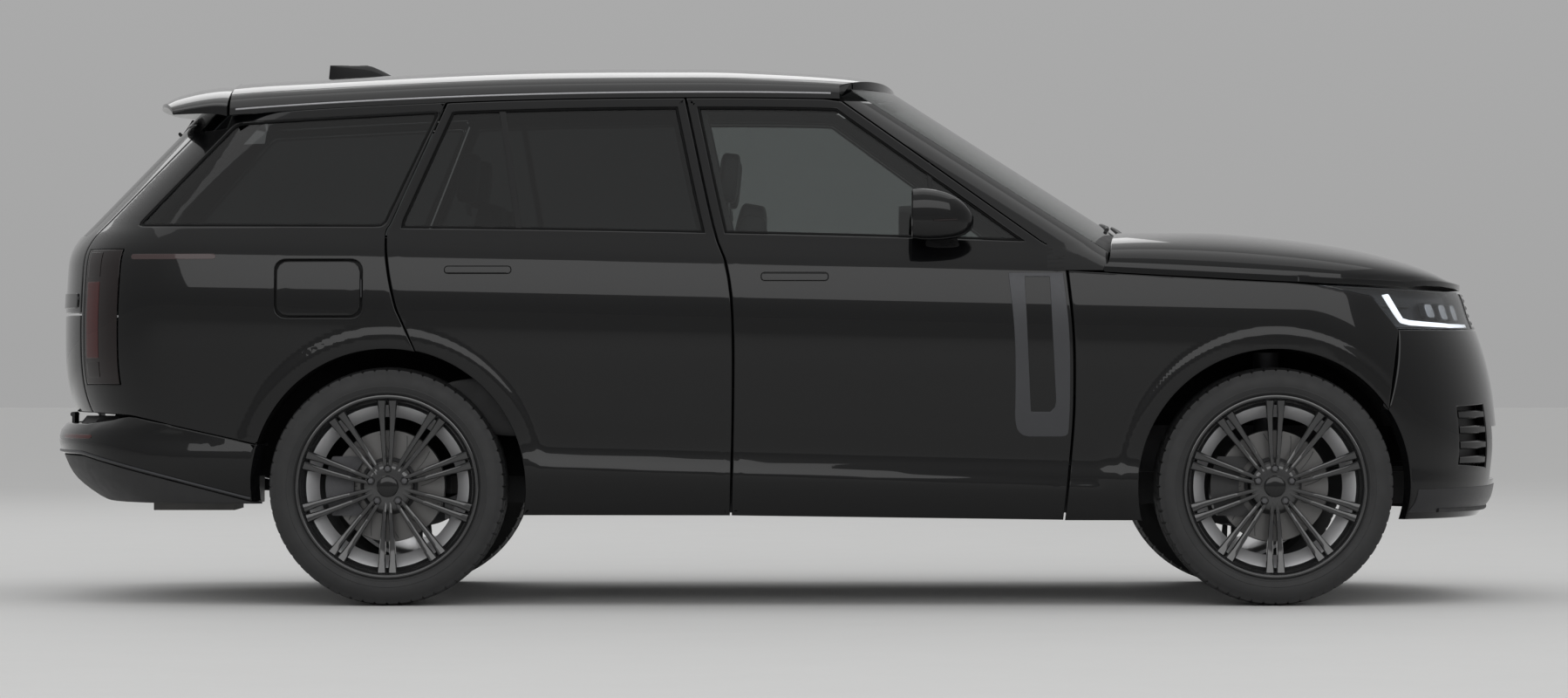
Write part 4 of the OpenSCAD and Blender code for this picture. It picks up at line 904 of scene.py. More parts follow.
# swept panels: a net of points with a rolled edge, a flange and a back
def sweptPanel(sheet, place, us, vs, thick, backMat=0, roll=3):
    u, v = np.meshgrid(us, vs, indexing="ij")
    top = place(u, v, 0 * u)
    under = place(u, v, thick + 0 * u)
    sheet.grid(top)
    sheet.grid(under, backMat, True)

    def edge(uu, vv, du, dv):
        # rolled edge along one side; du and dv point outwards, in millimetres of the surface
        base = place(uu, vv, 0 * uu)
        low = place(uu, vv, thick + 0 * uu)
        down = (low - base) / np.linalg.norm(low - base, axis=-1, keepdims=True)
        nxt = place(uu - du, vv - dv, 0 * uu)
        out = base - nxt
        out = out / np.maximum(np.linalg.norm(out, axis=-1, keepdims=True), 1e-9)
        rows = [base]
        for a in np.radians([30, 60, 90]):
            rows.append(base + out * roll * math.sin(a) + down * roll * (1 - math.cos(a)))
        rows += [low + out * roll - down * min(3, thick / 3), low]
        sheet.grid(rows)

    e = 1e-3
    us, vs = np.asarray(us, float), np.asarray(vs, float)
    spanU, spanV = us[-1] - us[0], vs[-1] - vs[0]
    edge(us[0] + 0 * vs, vs, -e * spanU, 0)
    edge(us[-1] + 0 * vs, vs, e * spanU, 0)
    edge(us, vs[0] + 0 * us, 0, -e * spanV)
    edge(us, vs[-1] + 0 * us, 0, e * spanV)


def down(pts, t):
    return pts - np.stack([0 * t, 0 * t, t], -1)


def roofPlace(back):
    def place(s, u, t):
        x = mix(back, roofFront(u), s)
        return down(np.stack([x, u * roofY(x), roofH(x, u)], -1), t)
    return place


roofEdge = 0.897
fin = {"x": -halfL + 928, "length": 268, "height": 61, "halfWidth": 30, "top": 142}


def buildRoof():
    s = Sheet()
    u = np.sin(np.radians(np.linspace(-90, 90, 61))) * roofEdge
    sweptPanel(s, roofPlace(gateX), np.linspace(0, 1, 90), u, 30, backMat=1, roll=2)
    base = float(crown(fin["x"] + 130)) - 8
    rows = []  # aerial fin: a swept-back blade
    for k in np.linspace(0, 1, 16):
        x0, x1 = fin["x"] + 6 * k, fin["x"] + fin["length"] * (1 - k) ** 0.9 + fin["top"] * k
        w = fin["halfWidth"] * (1 - k) ** 0.6 * 0.9 + 3
        a = fullTurn(32)
        cx, hx = (x0 + x1) / 2, (x1 - x0) / 2
        tip = np.where(np.cos(a) > 0, 1, 0.35)
        across = w * bulge(np.sin(a), 1.1 / tip * 0.6)
        rows.append(np.stack([cx + hx * np.cos(a), across, base + fin["height"] * k + 0 * a], -1))
    rows = np.array(rows)
    s.grid(rows, 0, closeV=True)
    s.add(rows[-1], [range(32)], 0)
    s.piece("roof_skin", [blackPaint, liningCloth], "body", "paint", "roof", sharp=40)
    r = Sheet()  # rails over the doors, with a thin bright metal bead along the roof's edge as a painted highlight
    back, front = gateX, float(roofFront(np.array(1.0)))
    ss = np.linspace(0, 1, 90)
    rows = []
    for sv in ss:
        x = mix(back, front, sv)
        outer = [(x, float(side(x, z)), z) for z in np.linspace(float(head(x)), float(rail(x)), 5)]
        for uu in (0.985, 0.965, 0.945, 0.925, 0.903):
            xx = float(mix(back, roofFront(np.array(uu)), sv))
            outer.append((xx, uu * float(roofY(xx)), float(roofH(xx, uu))))
        last = outer[-1]
        inner = [(last[0], last[1], last[2] - 30), (x, float(side(x, head(x))) - 58, float(head(x)) + 5),
                 (x, float(side(x, head(x))) - 58, float(head(x)))]
        rows.append(outer + inner)
    r.rings(rows, 0)
    a = fullTurn(10)
    xs = np.linspace(back + 20, front - 30, 90)
    # a bright metal bead along the roof's edge: a painted highlight line
    line = [(x, rail(x) - 9) for x in xs]
    bead = [np.stack([x + 0 * a, side(x, z) + 0.6 + 1.7 * np.cos(a), z + 3.2 * np.sin(a)], -1)
            for x, z in line]
    r.grid(bead, 1, closeV=True)
    r.mirrored().piece("roof_rail_trims", [glossBlack, brightTrim], "body", "gloss_black", "roof_rails",
                       sharp=40)
    print("roof made")


def screenLow(e):
    return beltZ + 14 - 60 * np.abs(e) ** 8


def screenPlace(e, s, t):
    return screenPt(e, mix(screenLow(e), screenTop, s), t)


centrePillar = {"footZ": 470.5, "half": 60, "lowIn": 120.6, "highIn": 48.2, "wall": 44}
printBand = {"edge": 0.925, "side": 0.885, "under": glassT + 0.5, "wall": 1.2}


def buildScreen():
    g = Sheet()
    sweptPanel(g, screenPlace, np.linspace(-0.93, 0.93, 70), np.linspace(0, 1, 40), glassT, roll=1)
    g.piece("windscreen_pane", tintScreen, "body", "glass", "windscreen", sharp=30)
    f = Sheet()  # the black printed band along the screen's edge, just under the glass
    far, near, across = printBand["edge"], printBand["side"], printBand["side"] - 0.001
    for es, ss in ((np.linspace(-far, -near, 6), np.linspace(0.01, 0.99, 40)),
                   (np.linspace(near, far, 6), np.linspace(0.01, 0.99, 40)),
                   (np.linspace(-across, across, 60), np.linspace(0.93, 0.99, 5)),
                   (np.linspace(-across, across, 60), np.linspace(0.005, 0.05, 5))):
        sweptPanel(f, sunk(screenPlace, printBand["under"]), es, ss, printBand["wall"], roll=0.3)
    f.piece("screen_band", glossBlack, "body", "gloss_black", sharp=40)
    p = Sheet()  # windscreen pillars and centre pillars
    zs = np.linspace(beltZ - 113, railZ - 12, 60)
    es = np.linspace(0.9345, 1, 40)
    slope = (pillarTop[1] - pillarFoot[1]) / (pillarTop[0] - pillarFoot[0])

    def pillarRow(z, t):
        # round the corner from the screen to the door's shut line, in even steps
        edge = pillarFoot[0] + (z - pillarFoot[1]) / slope + 2 if z > pillarFoot[1] else pillarFoot[0] + 12
        row = screenPt(es, z + 0 * es, t + 0 * es)
        if row[-1, 0] > edge:
            xs = np.linspace(row[-1, 0], edge, 12)[1:]
            row = np.concatenate([row, np.stack([xs, side(xs, z) - t, z + 0 * xs], -1)])
        xs = np.linspace(row[0, 0], max(edge, row[-1, 0]), 16)
        return np.stack([np.interp(-xs, -row[:, 0], row[:, k]) for k in range(3)], -1)

    front = np.array([pillarRow(z, 0) for z in zs])
    behind = np.array([pillarRow(z, 40) for z in zs])
    underRoof = float(roofFront(np.array(0.95))) + 2
    ends = front[:, -1, 0]
    topCut = (zs < head(ends) - 2) | (ends > underRoof)
    front, behind = front[topCut], behind[topCut]
    loop = np.concatenate([front, behind[:, ::-1]], 1)
    p.rings(loop, 0)
    rows = []
    for z in np.linspace(centrePillar["footZ"], float(head(midLine(headRefZ))) - 2, 50):
        xs = midLine(z) + np.linspace(-1, 1, 9) * centrePillar["half"]
        waist = smooth(z, belt(xs) - 45, belt(xs) + 4)
        near = side(xs, z) - mix(centrePillar["lowIn"], centrePillar["highIn"], waist)
        outer = np.stack([xs, near, z + 0 * xs], -1)
        back = np.stack([xs, near - centrePillar["wall"], z + 0 * xs], -1)
        rows.append(np.concatenate([outer, back[::-1]]))
    p.rings(rows, 1)
    p.mirrored().piece("pillar_trims", [glossBlack, liningCloth], "body", "gloss_black", "pillars", sharp=40)
    print("windscreen and pillars made")


bonnetT = 20


def hoodZ(x, y):
    w = bodyY(x, hoodLine(x))
    e = np.where(w < np.abs(y) + 0.01, 1, np.abs(y) / np.maximum(w, 0.01))
    z0 = hoodLine(x) + 3.5 + bonnetT
    return z0 + np.maximum(0, hood(x) - z0) * np.maximum(0, 1 - e ** 5) ** (1 / 2.2)


def hoodPlace(s, u, t):
    z = mix(hoodLine(frontX - 600), beltZ + 17, (1 - np.abs(u) ** 5) ** (1 / 2.2))
    x0 = screenPt(u, z, 0 * u)[..., 0] + 22
    x1 = nosePt(u, hoodLine(halfL) + 0 * u, 0 * u)[..., 0] - 4
    x = mix(x0, x1, s)
    y = u * side(x, hoodLine(x))
    along = smooth(s, 0.1, 0.3) * (1 - smooth(s, 0.6, 0.95))
    ridge = 5 * (smooth(np.abs(u), 0.55, 0.60) - smooth(np.abs(u), 0.62, 0.9)) * along
    return down(np.stack([x, y, hoodZ(x, y) + ridge], -1), t)


wipers = {"bladeR": 7, "first": 0.30, "apart": 0.86, "reach": 0.52}


def tube(sheet, path, radius, mat=0, sides=10):
    # a round bar along points; radius may change along it
    path = np.array(path, float)
    r = np.broadcast_to(np.asarray(radius, float), (len(path),))
    tangent = np.gradient(path, axis=0)
    tangent /= np.linalg.norm(tangent, axis=1, keepdims=True)
    up = np.array([0, 0, 1.0]) if abs(tangent[:, 2]).mean() < 0.9 else np.array([1.0, 0, 0])
    a = np.cross(tangent, up)
    a /= np.linalg.norm(a, axis=1, keepdims=True)
    b = np.cross(tangent, a)
    ring = fullTurn(sides)
    rows = path[:, None] + r[:, None, None] * (a[:, None] * np.cos(ring)[:, None]
                                               + b[:, None] * np.sin(ring)[:, None])
    sheet.rings(rows, mat)


def buildBonnet():
    s = Sheet()
    u = np.concatenate([np.linspace(0, 0.8, 30), 0.8 + 0.2 * np.sin(np.radians(np.linspace(0, 90, 22)))[1:]])
    u = np.concatenate([-u[::-1], u[1:]])
    ss = np.concatenate([np.linspace(0, 0.8, 50), np.linspace(0.8, 1, 40)[1:]])
    sweptPanel(s, hoodPlace, ss, u, bonnetT, backMat=1, roll=2.5)
    s.piece("bonnet_skin", [blackPaint, pressedSteel], "bonnet", "paint", "bonnet", sharp=40)
    w = Sheet()  # wipers, lying at the foot of the screen
    for k in range(2):
        pivot = wipers["first"] - wipers["apart"] * k
        es = np.linspace(pivot, pivot + wipers["reach"], 24)
        low = screenPt(es, screenLow(es) + 18 + 26 * np.linspace(0, 1, 24), -12 + 0 * es)
        tube(w, low, wipers["bladeR"], 0, 8)
        es = np.linspace(pivot - 0.02, pivot + 0.27, 10)
        arm = screenPt(es, beltZ + np.linspace(6, 42, 10), -26 + 0 * es)
        tube(w, arm, np.linspace(11, 6, 10), 0, 8)
        foot = [arm[0] + (0, 0, -26), arm[0] + (0, 0, -8), arm[0] + (0, 0, 9)]
        tube(w, foot, [15, 15, 12], 0, 14)
    w.piece("wipers", [darkPlastic], "body", "trim", sharp=40)
    print("bonnet made")


bayCover = {"back": -425, "front": 470, "inner": 455, "drop": 62, "skirt": 150, "wall": 4, "clear": 42}


def buildBayCovers():
    # plastic covers along both sides of the engine bay, over the arches
    outerRows = []
    for x in np.linspace(frontX + bayCover["back"], frontX + bayCover["front"], 44):
        z = float(hoodLine(x)) - bayCover["drop"]
        ys = np.linspace(float(bodyY(x, z)) - bayCover["clear"], bayCover["inner"], 20)
        share = np.linspace(0, 1, 20)
        rib = 5 * (np.abs((share * 4) % 1 - 0.5) < 0.16)  # pressed ribs along the cover
        line = np.stack([x + 0 * ys, ys, z - 30 * share ** 2 + rib], -1)
        skirt = [(x, ys[-1] - 6, z - 38), (x, ys[-1] - 8, z - 30 - bayCover["skirt"])]
        outerRows.append(np.concatenate([line, skirt]))
    outerRows = np.array(outerRows)
    under = outerRows - (0, 0, bayCover["wall"])
    under[:, -2:, 1] += bayCover["wall"]
    ring = np.concatenate([outerRows, under[:, ::-1]], 1)
    s = Sheet()
    s.grid(ring, 0, closeV=True)
    n = ring.shape[1]
    for end in (0, -1):
        s.add(ring[end], [(i, i + 1, n - 2 - i, n - 1 - i) for i in range(n // 2 - 1)])
    s.mirrored().piece("engine_bay_covers", [darkPlastic], "body", "trim", sharp=35)



# nose and tail, drawn in the angle round the corner and the height
noseScale = 13.0  # millimetres of panel for a degree of angle
noseNet = (noseScale, 1)


def noseAt(a, z, t):
    return nosePt(np.sin(np.radians(a)), z, t)


def noseBar(sheet, a, z, section, mat):
    # a bar on the nose; section holds its steps in angle, height and depth
    flat = 0 * (a + z)
    sheet.grid([noseAt(a + da + flat, z + dz + flat, t + flat) for da, dz, t in section], mat, closeU=True)


def noseAngle(x, z):
    d = (x - frontEnd(z) + noseR) / noseR
    return np.degrees(np.arcsin(np.clip(corner(d, "nose"), 0, 1)))


frontBumper = {"wall": 26, "lipZ": 318.0, "lipR": 9, "bladeLow": 312.0, "bladeHigh": 400, "bladeSpan": 70}
intake = {"top": beltZ - 570, "low": beltZ - 785, "blades": 4, "apart": 52}
lowerIntake = {"half": 33, "low": 415, "high": 596}
grille = {"half": 30, "halfTop": 29.2, "low": lampLow + 12, "high": 1048, "bars": 4, "apart": 26.5,
          "uprights": 23}


def quad(half, low, high, halfTop=None):
    top = half if halfTop is None else halfTop
    return [(-half, low), (half, low), (top, high), (-top, high)]


def buildNose():
    s = Sheet()
    low = sillZ - 14
    footAngle = math.degrees(math.asin((low - axleZ) / archR))
    archEdge = [(float(noseAngle(x + 3, z)), z) for x, z in archArc(frontX, archR, footAngle, 34, 30)]
    lampEdge = [(float(noseAngle(lampFoot - 5, lampLow - 1)), lampLow - 1)]
    right = archEdge + lampEdge
    outline = right + [(-a, z) for a, z in right[::-1]]
    mid = quad(lowerIntake["half"], lowerIntake["low"], lowerIntake["high"])
    cornersOf = [[(sg * 39, intake["low"]), (sg * 56, intake["low"] + 12), (sg * 56, intake["top"] - 6),
                  (sg * 40, intake["top"])] for sg in (1, -1)]
    panel(s, outline, noseAt, frontBumper["wall"], [mid] + cornersOf, step=20, scale=noseNet, backMat=1)
    lip = [noseAt(a, np.array(frontBumper["lipZ"]), -1.0) for a in np.linspace(-60, 60, 40)]
    tube(s, lip, frontBumper["lipR"], 1, 10)
    span = frontBumper["bladeSpan"]
    arc = np.linspace(-span, span, 60)  # satin blade along the foot of the bumper
    blade = [(a, frontBumper["bladeLow"]) for a in arc]
    blade += [(a, frontBumper["bladeHigh"] - 10 * abs(a) / span) for a in arc[::-1]]
    panel(s, blade, sunk(noseAt, -3), 5, step=16, scale=noseNet, roll=2, mat=2)
    s.piece("front_bumper_skin", [blackPaint, darkPlastic, skidTrim], "body", "paint", "front_bumper",
            sharp=38)
    g = Sheet()
    half, top, low, high = (grille[k] for k in ("half", "halfTop", "low", "high"))
    surround = quad(half + 1.5, low - 10, high + 8, top + 1.3)
    panel(g, surround, noseAt, 24, [quad(half, low, high, top)], step=16, scale=noseNet, roll=2)
    for k in range(grille["bars"]):  # upper grille: fine bars in front of a dark net
        z0 = low + 12 + k * grille["apart"]
        a = np.linspace(-29.8, 29.8, 90)
        wave = 1.2 * np.cos(np.radians(a * 12))
        noseBar(g, a, z0, [(0, -5.5, 14), (0, -6.5, 5 + wave), (0, 0, 2.4 + wave), (0, 6.5, 5 + wave),
                           (0, 5.5, 14)], 2)
    for a0 in np.linspace(1 - half, half - 1, grille["uprights"]):
        noseBar(g, a0, np.linspace(low, high - 1, 10),
                [(-0.1, 0, 10), (0.1, 0, 10), (0.1, 0, 17), (-0.1, 0, 17)], 2)
    net = quad(half + 0.5, low - 6, high + 4, top + 0.8)
    panel(g, net, sunk(noseAt, 20), 3, step=24, scale=noseNet, mat=1)
    net = quad(lowerIntake["half"] + 3, lowerIntake["low"] - 10, lowerIntake["high"] + 10)
    panel(g, net, sunk(noseAt, 38), 5, step=24, scale=noseNet, mat=1)
    for sg in (1, -1):
        panel(g, [(sg * 37, 450), (sg * 58, 450), (sg * 58, 685), (sg * 37, 685)],
              sunk(noseAt, 38), 5, step=24, scale=noseNet, mat=1)
        for k in range(intake["blades"]):  # blades stacked in the corner intakes
            z0 = intake["low"] + 26 + k * intake["apart"]
            a = sg * np.linspace(40, 55.4, 30)
            rows = [noseAt(a, z0 + dz + 0 * a, t + 0 * a) for dz, t in
                    ((-11, 30), (-14, 6), (-9, 1.5), (9, 1.5), (14, 6), (11, 30))]
            g.bar(rows, 0)
    for z0 in np.arange(432, 592, 20):  # lower intake net
        noseBar(g, np.linspace(-32.6, 32.6, 120), z0, [(0, -3, 30), (0, -3, 16), (0, 3, 16), (0, 3, 30)], 1)
    for a0 in np.linspace(-32, 32, 54):
        noseBar(g, a0, np.linspace(416, 595, 12),
                [(-0.16, 0, 30), (-0.16, 0, 20), (0.16, 0, 20), (0.16, 0, 30)], 1)
    g.piece("grille_parts", [glossBlack, darkPlastic, satinTrim], "body", "gloss_black", "grille", sharp=36)
    print("nose made")


dayBand = {"start": 22, "bend": 14, "end": 10}
dayPath = [(2064, 1050), (2085, 1016), (2106, 983), (2121, 962), (2150, 955), (2205, 951), (2260, 948),
           (2300, 946)]
# angle, height and half-width of each square lens
projectors = ((40, 990, 29), (47.5, 992, 29), (54.5, 996, 27))
# low edge, high edge, material and rise of each band on a tail lamp
tailBands = ((835, 1095, 1, 3.4), (770, 822, 0, 4.2), (1112, 1196, 0, 4.2))


def buildLamps():
    def lampOutline(g):
        # the lamp's outline from the fender to the grille, as angle and height
        out = []
        for (x0, z0), (x1, z1) in zip(lampLine[::-1], lampLine[::-1][1:]):
            for k in np.linspace(0, 1, 10):
                x, z = mix(x0, x1, k) + g, mix(z0, z1, k)
                out.append((float(noseAngle(x, z)), float(z)))
        out = out[::-1]
        inner = 32.6
        top = []
        for a in np.linspace(inner, out[-1][0], 40):
            z = 1060.0
            for _ in range(6):
                z = float(hoodLine(nosePt(np.sin(np.radians(a)), np.array(z), 0)[0])) - 4
            top.append((float(a), z))
        foot = [(float(a), lampLow + 2) for a in np.linspace(inner, out[0][0], 20)]
        return foot + out[1:-1] + top[::-1]

    shape = lampOutline(4)
    cover = Sheet()
    panel(cover, shape, noseAt, 4, step=16, scale=noseNet, roll=1.5)
    box = Sheet()
    panel(box, [tuple(p) for p in inset(evenLoop(np.array(shape) * noseNet, 16), 3) / noseNet],
          sunk(noseAt, 40), 16, step=20, scale=noseNet)
    wall = evenLoop(np.array(shape) * noseNet, 16)
    rows = [noseAt(w[:, 0] / noseScale, w[:, 1], t + 0 * w[:, 0]) for w, t in
            ((inset(wall, 1.5), 5), (inset(wall, 4), 40), (inset(wall, 0.5), 40), (inset(wall, 0.5), 5))]
    box.grid(rows, 0, closeU=True, closeV=True)
    for a0, z0, r in projectors:
        ring = fullTurn(40)
        acrossSq, upSq = bulge(np.cos(ring), 0.55), bulge(np.sin(ring), 0.55)
        for rr, t0, t1, mat in ((r, 34, 16, 0), (r - 4, 15.8, 14, 1)):
            domed = 1 if mat else 0  # the lens bulges, its housing is flat
            rows = [noseAt(a0 + k * rr * acrossSq / noseScale, z0 + k * rr * upSq, t + 0 * ring)
                    for k, t in ((1, t0), (1, t1 + 2), (0.94, t1), (0.5, t1 - 3 * domed),
                                 (0.05, t1 - 4 * domed))]
            box.grid(rows, mat, closeV=True)
    # the day light: one bright line down the outer edge and along the foot
    pts = []
    for (xa, za), (xb, zb) in zip(dayPath, dayPath[1:]):
        pts += [(mix(xa, xb, k), mix(za, zb, k)) for k in np.linspace(0, 1, 8)[:-1]]
    line = np.array([(float(noseAngle(x, z)), z) for x, z in pts])
    line = np.concatenate([line, [(a, 945.0) for a in np.linspace(line[-1, 0] - 0.6, 36, 14)]])
    flatLine = line * noseNet
    tangent = np.gradient(flatLine, axis=0)
    normal = np.stack([-tangent[:, 1], tangent[:, 0]], 1) / np.linalg.norm(tangent, axis=1, keepdims=True)
    stations = [0, len(pts) - 2, len(line) - 1]
    widths = [dayBand[k] for k in ("start", "bend", "end")]
    half = np.interp(np.arange(len(line)), stations, widths)[:, None] / 2
    sides = [(flatLine + normal * half * k) / noseNet for k in (-1, 1)]
    rows = [noseAt(p[:, 0], p[:, 1], t + 0 * p[:, 0]) for p, t in
            ((sides[0], 12), (sides[0], 6), (sides[1], 6), (sides[1], 12))]
    box.bar(rows, 2)
    box.mirrored().piece("headlamp_inners", [lampInside, lampLens, dayLight], "body", "lamp_clear", sharp=40)
    cover.mirrored().piece("headlamp_covers", lampCover, "body", "lamp_clear", "headlamps", sharp=35)
    t = Sheet()  # tail lamps: dark upright blocks with a red band between
    panel(t, tailLampOutline(-1.2), sunk(bodyPt, -2), 24, step=14, roll=3)
    for lo, hi, mat, proud in tailBands:
        bandIn, bandOut = tailX(lampBlock["inner"] + 0.015), tailX(lampBlock["outer"] - 0.06)
        panel(t, lineUp(bandIn, lo, hi, n=16) + lineUp(bandOut, hi, lo, n=16), sunk(bodyPt, -proud), 4,
              step=10, roll=1.5, mat=mat)
    t.mirrored().piece("tail_lamp_blocks", [smokedLens, redLens], "body", "lamp_red", "tail_lamps", sharp=36)
    print("lamps made")


tailScale = 900.0  # millimetres of panel for a whole half-width
tailNet = (tailScale, 1)
gateEdge = 0.792
tailgate = {"wall": 46, "windowHalf": 0.70, "barHalf": 0.765, "barLow": 1006, "barHigh": 1058}
stopLamp = ((-240, 1700), (240, 1712))
dropGate = {"wall": 50, "recess": ((-265, 742), (265, 868))}
reflector = ((250, 560), (400, 574))


def tailShape(shape):
    # an outline in millimetres across the tail, turned into shares of the half-width
    return [(x / tailScale, z) for x, z in shape]


def gateTop(e):
    # highest point of the tailgate at a share of the half-width, kept behind the roof's edge
    z = roofZ - 85 - 25 * (e / gateEdge) ** 2
    while float(tailPt(np.array(float(e)), np.array(float(z)), 0)[0]) > gateX - 16:
        z -= 2
    return z


def spoilerPlace(s, u, t):
    x = mix(gateX - 12, -halfL + 367 + 90 * np.abs(u) ** 3, s)
    w = roofY(x) - 6
    return np.stack([x, u * w, roofH(x, u) - 9 * (1 - s) ** 6 - t * mix(34, 12, s)], -1)


def buildTail():
    s = Sheet()
    es = np.linspace(-gateEdge, gateEdge, 60)
    outline = ([(-gateEdge, z) for z in np.linspace(gateTop(-gateEdge), splitZ + 4, 20)]
               + [(e, splitZ + 4.0) for e in es]
               + [(gateEdge, z) for z in np.linspace(splitZ + 4, gateTop(gateEdge), 20)]
               + [(e, gateTop(e)) for e in es[::-1]])
    half = tailgate["windowHalf"] * tailScale
    window = tailShape(roundRect((-half, beltZ + 12), (half, beltZ + 396), 40))
    panel(s, outline, tailPt, tailgate["wall"], [window], step=22, scale=tailNet, backMat=1)
    sweptPanel(s, spoilerPlace, np.linspace(0, 1, 30), np.sin(np.radians(np.linspace(-90, 90, 61))) * 0.985,
               1, roll=2)
    half = tailgate["barHalf"] * tailScale
    bar = roundRect((-half, tailgate["barLow"]), (half, tailgate["barHigh"]), 12)
    panel(s, tailShape(bar), sunk(tailPt, -4), 8, step=16, scale=tailNet,
          roll=3, mat=2)
    stop = tailShape(roundRect(*stopLamp, 5))
    panel(s, stop, sunk(tailPt, -2), 4, step=12, scale=tailNet, roll=1.2, mat=3)
    s.piece("tailgate_shell", [blackPaint, liningCloth, glossBlack, redLens], "tailgate", "paint", "tailgate",
            sharp=38)
    g = Sheet()
    pane = tailShape(inset(evenLoop(np.array(window) * tailNet, 30), gap["glass"]))
    panel(g, pane, sunk(tailPt, 6), glassT, step=34, scale=tailNet, roll=1.5)
    g.piece("tailgate_pane", tintRear, "tailgate", "glass", "tailgate_glass", sharp=30)
    w = Sheet()  # rear wiper, tucked under the spoiler
    es = np.linspace(-0.26, 0.28, 22)
    tube(w, tailPt(es, 1618 + 14 * np.abs(es), -9 + 0 * es), 6, 0, 8)
    es = np.linspace(0.0, 0.05, 6)
    tube(w, tailPt(es, np.linspace(1668, 1622, 6), -16 + 0 * es), [14, 12, 10, 9, 8, 7], 0, 10)
    w.piece("rear_wiper", darkPlastic, "tailgate", "trim", sharp=40)
    d = Sheet()
    outline = ([(-gateEdge, z) for z in np.linspace(splitZ - 4, dropZ, 16)]
               + [(e, float(dropZ)) for e in np.linspace(-gateEdge, gateEdge, 60)]
               + [(gateEdge, z) for z in np.linspace(dropZ, splitZ - 4, 16)]
               + [(e, splitZ - 4.0) for e in np.linspace(gateEdge, -gateEdge, 60)])
    recess = tailShape(roundRect(*dropGate["recess"], 18))
    panel(d, outline, tailPt, dropGate["wall"], step=22, scale=tailNet, backMat=1)
    panel(d, recess, sunk(tailPt, -1.2), 3, step=16, scale=tailNet, roll=1, mat=2)
    d.piece("drop_gate_shell", [blackPaint, liningCloth, glossBlack], "drop_gate", "paint", "drop_gate",
            sharp=38)
    print("tail made")


bumperRun = {"corner": 560.0}
tread = {"frontX": -halfL + 266}


def bumperSpace(p, z, t):
    # p runs along the bumper: the rounded corner first, then the straight side
    p = np.asarray(p, float)
    k = bumperRun["corner"]
    a = np.clip(np.abs(p) / k, 0, 1) * 90
    e = np.sign(p) * np.sin(np.radians(a))
    pts = bumperPt(e, z + 0 * p, t + 0 * p)
    extra = np.maximum(np.abs(p) - k, 0)
    x = pts[..., 0] + extra
    y = np.where(extra > 0, np.sign(p) * (side(x, z) - t), pts[..., 1])
    return np.stack([x, y, z + 0 * p], -1)


def bumperTop(x):
    return np.interp(x, [-halfL, -halfL + 170, -halfL + 325, rearX - 449, rearX - 380],
                     [611, 611, 638, 544, 530])


def bumperFoot(x):
    # the painted part's lower edge rises towards the rear
    return np.interp(x, [-2400, -2385, -1789, -1700], [506, 505, 352, 344])


def runAt(x, z):
    # place along the bumper of a point given in side view
    e = corner((bumperEnd(z) + tailR - x) / tailR, "tail")
    round90 = np.degrees(np.arcsin(np.clip(e, 0, 1))) / 90 * bumperRun["corner"]
    return round90 + np.maximum(x - bumperEnd(z) - tailR, 0)


def followLine(line, xEnd, n=40):
    # points along the bumper on a line given in side view, from the middle to xEnd
    zMid = float(line(-halfL))
    out = [(0.0, zMid)]
    for x in np.linspace(float(bumperEnd(zMid)) + 0.4, xEnd, n):
        z = float(line(x))
        out.append((float(runAt(x, z)), z))
    return out


def buildRearBumper():
    s = Sheet()
    archX = lambda z: rearX - math.sqrt(archR ** 2 - (z - axleZ) ** 2) - 3
    zEnd = 545.0
    top = followLine(bumperTop, archX(zEnd))
    foot = followLine(bumperFoot, archX(352))
    edge = [(float(runAt(archX(z), z)), z) for z in np.linspace(352, zEnd, 8)]
    half = foot[1:] + edge + top[1:][::-1]
    outline = half + [(0, top[0][1])] + [(-p, z) for p, z in half[::-1]] + [(0, foot[0][1])]
    panel(s, outline, bumperSpace, 34, step=20, backMat=1)
    lower = lambda x: bumperFoot(x) - 4
    foot2 = followLine(lower, archX(348))
    under = followLine(lambda x: 342.0 + 0 * x, archX(342))
    half = under[1:] + foot2[1:][::-1]
    outline = half + [(0, foot2[0][1])] + [(-p, z) for p, z in half[::-1]] + [(0, under[0][1])]
    panel(s, outline, sunk(bumperSpace, 6), 30, step=20, mat=1)
    strip = followLine(lambda x: bumperFoot(x) + 9, archX(380))[1:]
    pts = np.array([bumperSpace(np.array(p), np.array(z), -1.0) for p, z in strip[::-1]]
                   + [bumperSpace(np.array(-p), np.array(z), -1.0) for p, z in strip])
    tube(s, pts, 4.5, 2, 8)
    for sg in (1, -1):  # low reflectors
        panel(s, [(sg * p, z) for p, z in roundRect(*reflector, 5)],
              sunk(bumperSpace, -1.5), 4, step=12, roll=1, mat=3)
    for p0, p1, low, high in ((-330, 330, 562, 570), (200, 322, 566, 635), (-322, -200, 566, 635)):
        run = np.linspace(p0, p1, 60)  # tread under the gate and a pad at each corner
        rows = []
        for z, inner in ((low, False), (high, False), (high, True), (low, True)):
            pts = bumperSpace(run, z + 0 * run, 31.0)
            if inner:
                pts[:, 0] = tread["frontX"]
            rows.append(pts)
        s.bar(rows, 1)
    s.piece("rear_bumper_skin", [blackPaint, darkPlastic, satinTrim, redLens], "body", "paint", "rear_bumper",
            sharp=38)
    print("rear bumper made")


# wheels and tyres: drawn about the axle, outer face towards +w, then set on each corner of the car
def wheelPlace(x, sign):
    def place(r, a, w):
        # a is the angle seen from outside; w is the distance from the tyre's middle towards the outside
        return np.stack([x + r * np.cos(a), sign * (wheelY + w), axleZ + r * np.sin(a)], -1)
    return place


tyre = {"outer": 402.0, "blocks": 60, "groove": 7.5, "halfTread": 129.5}


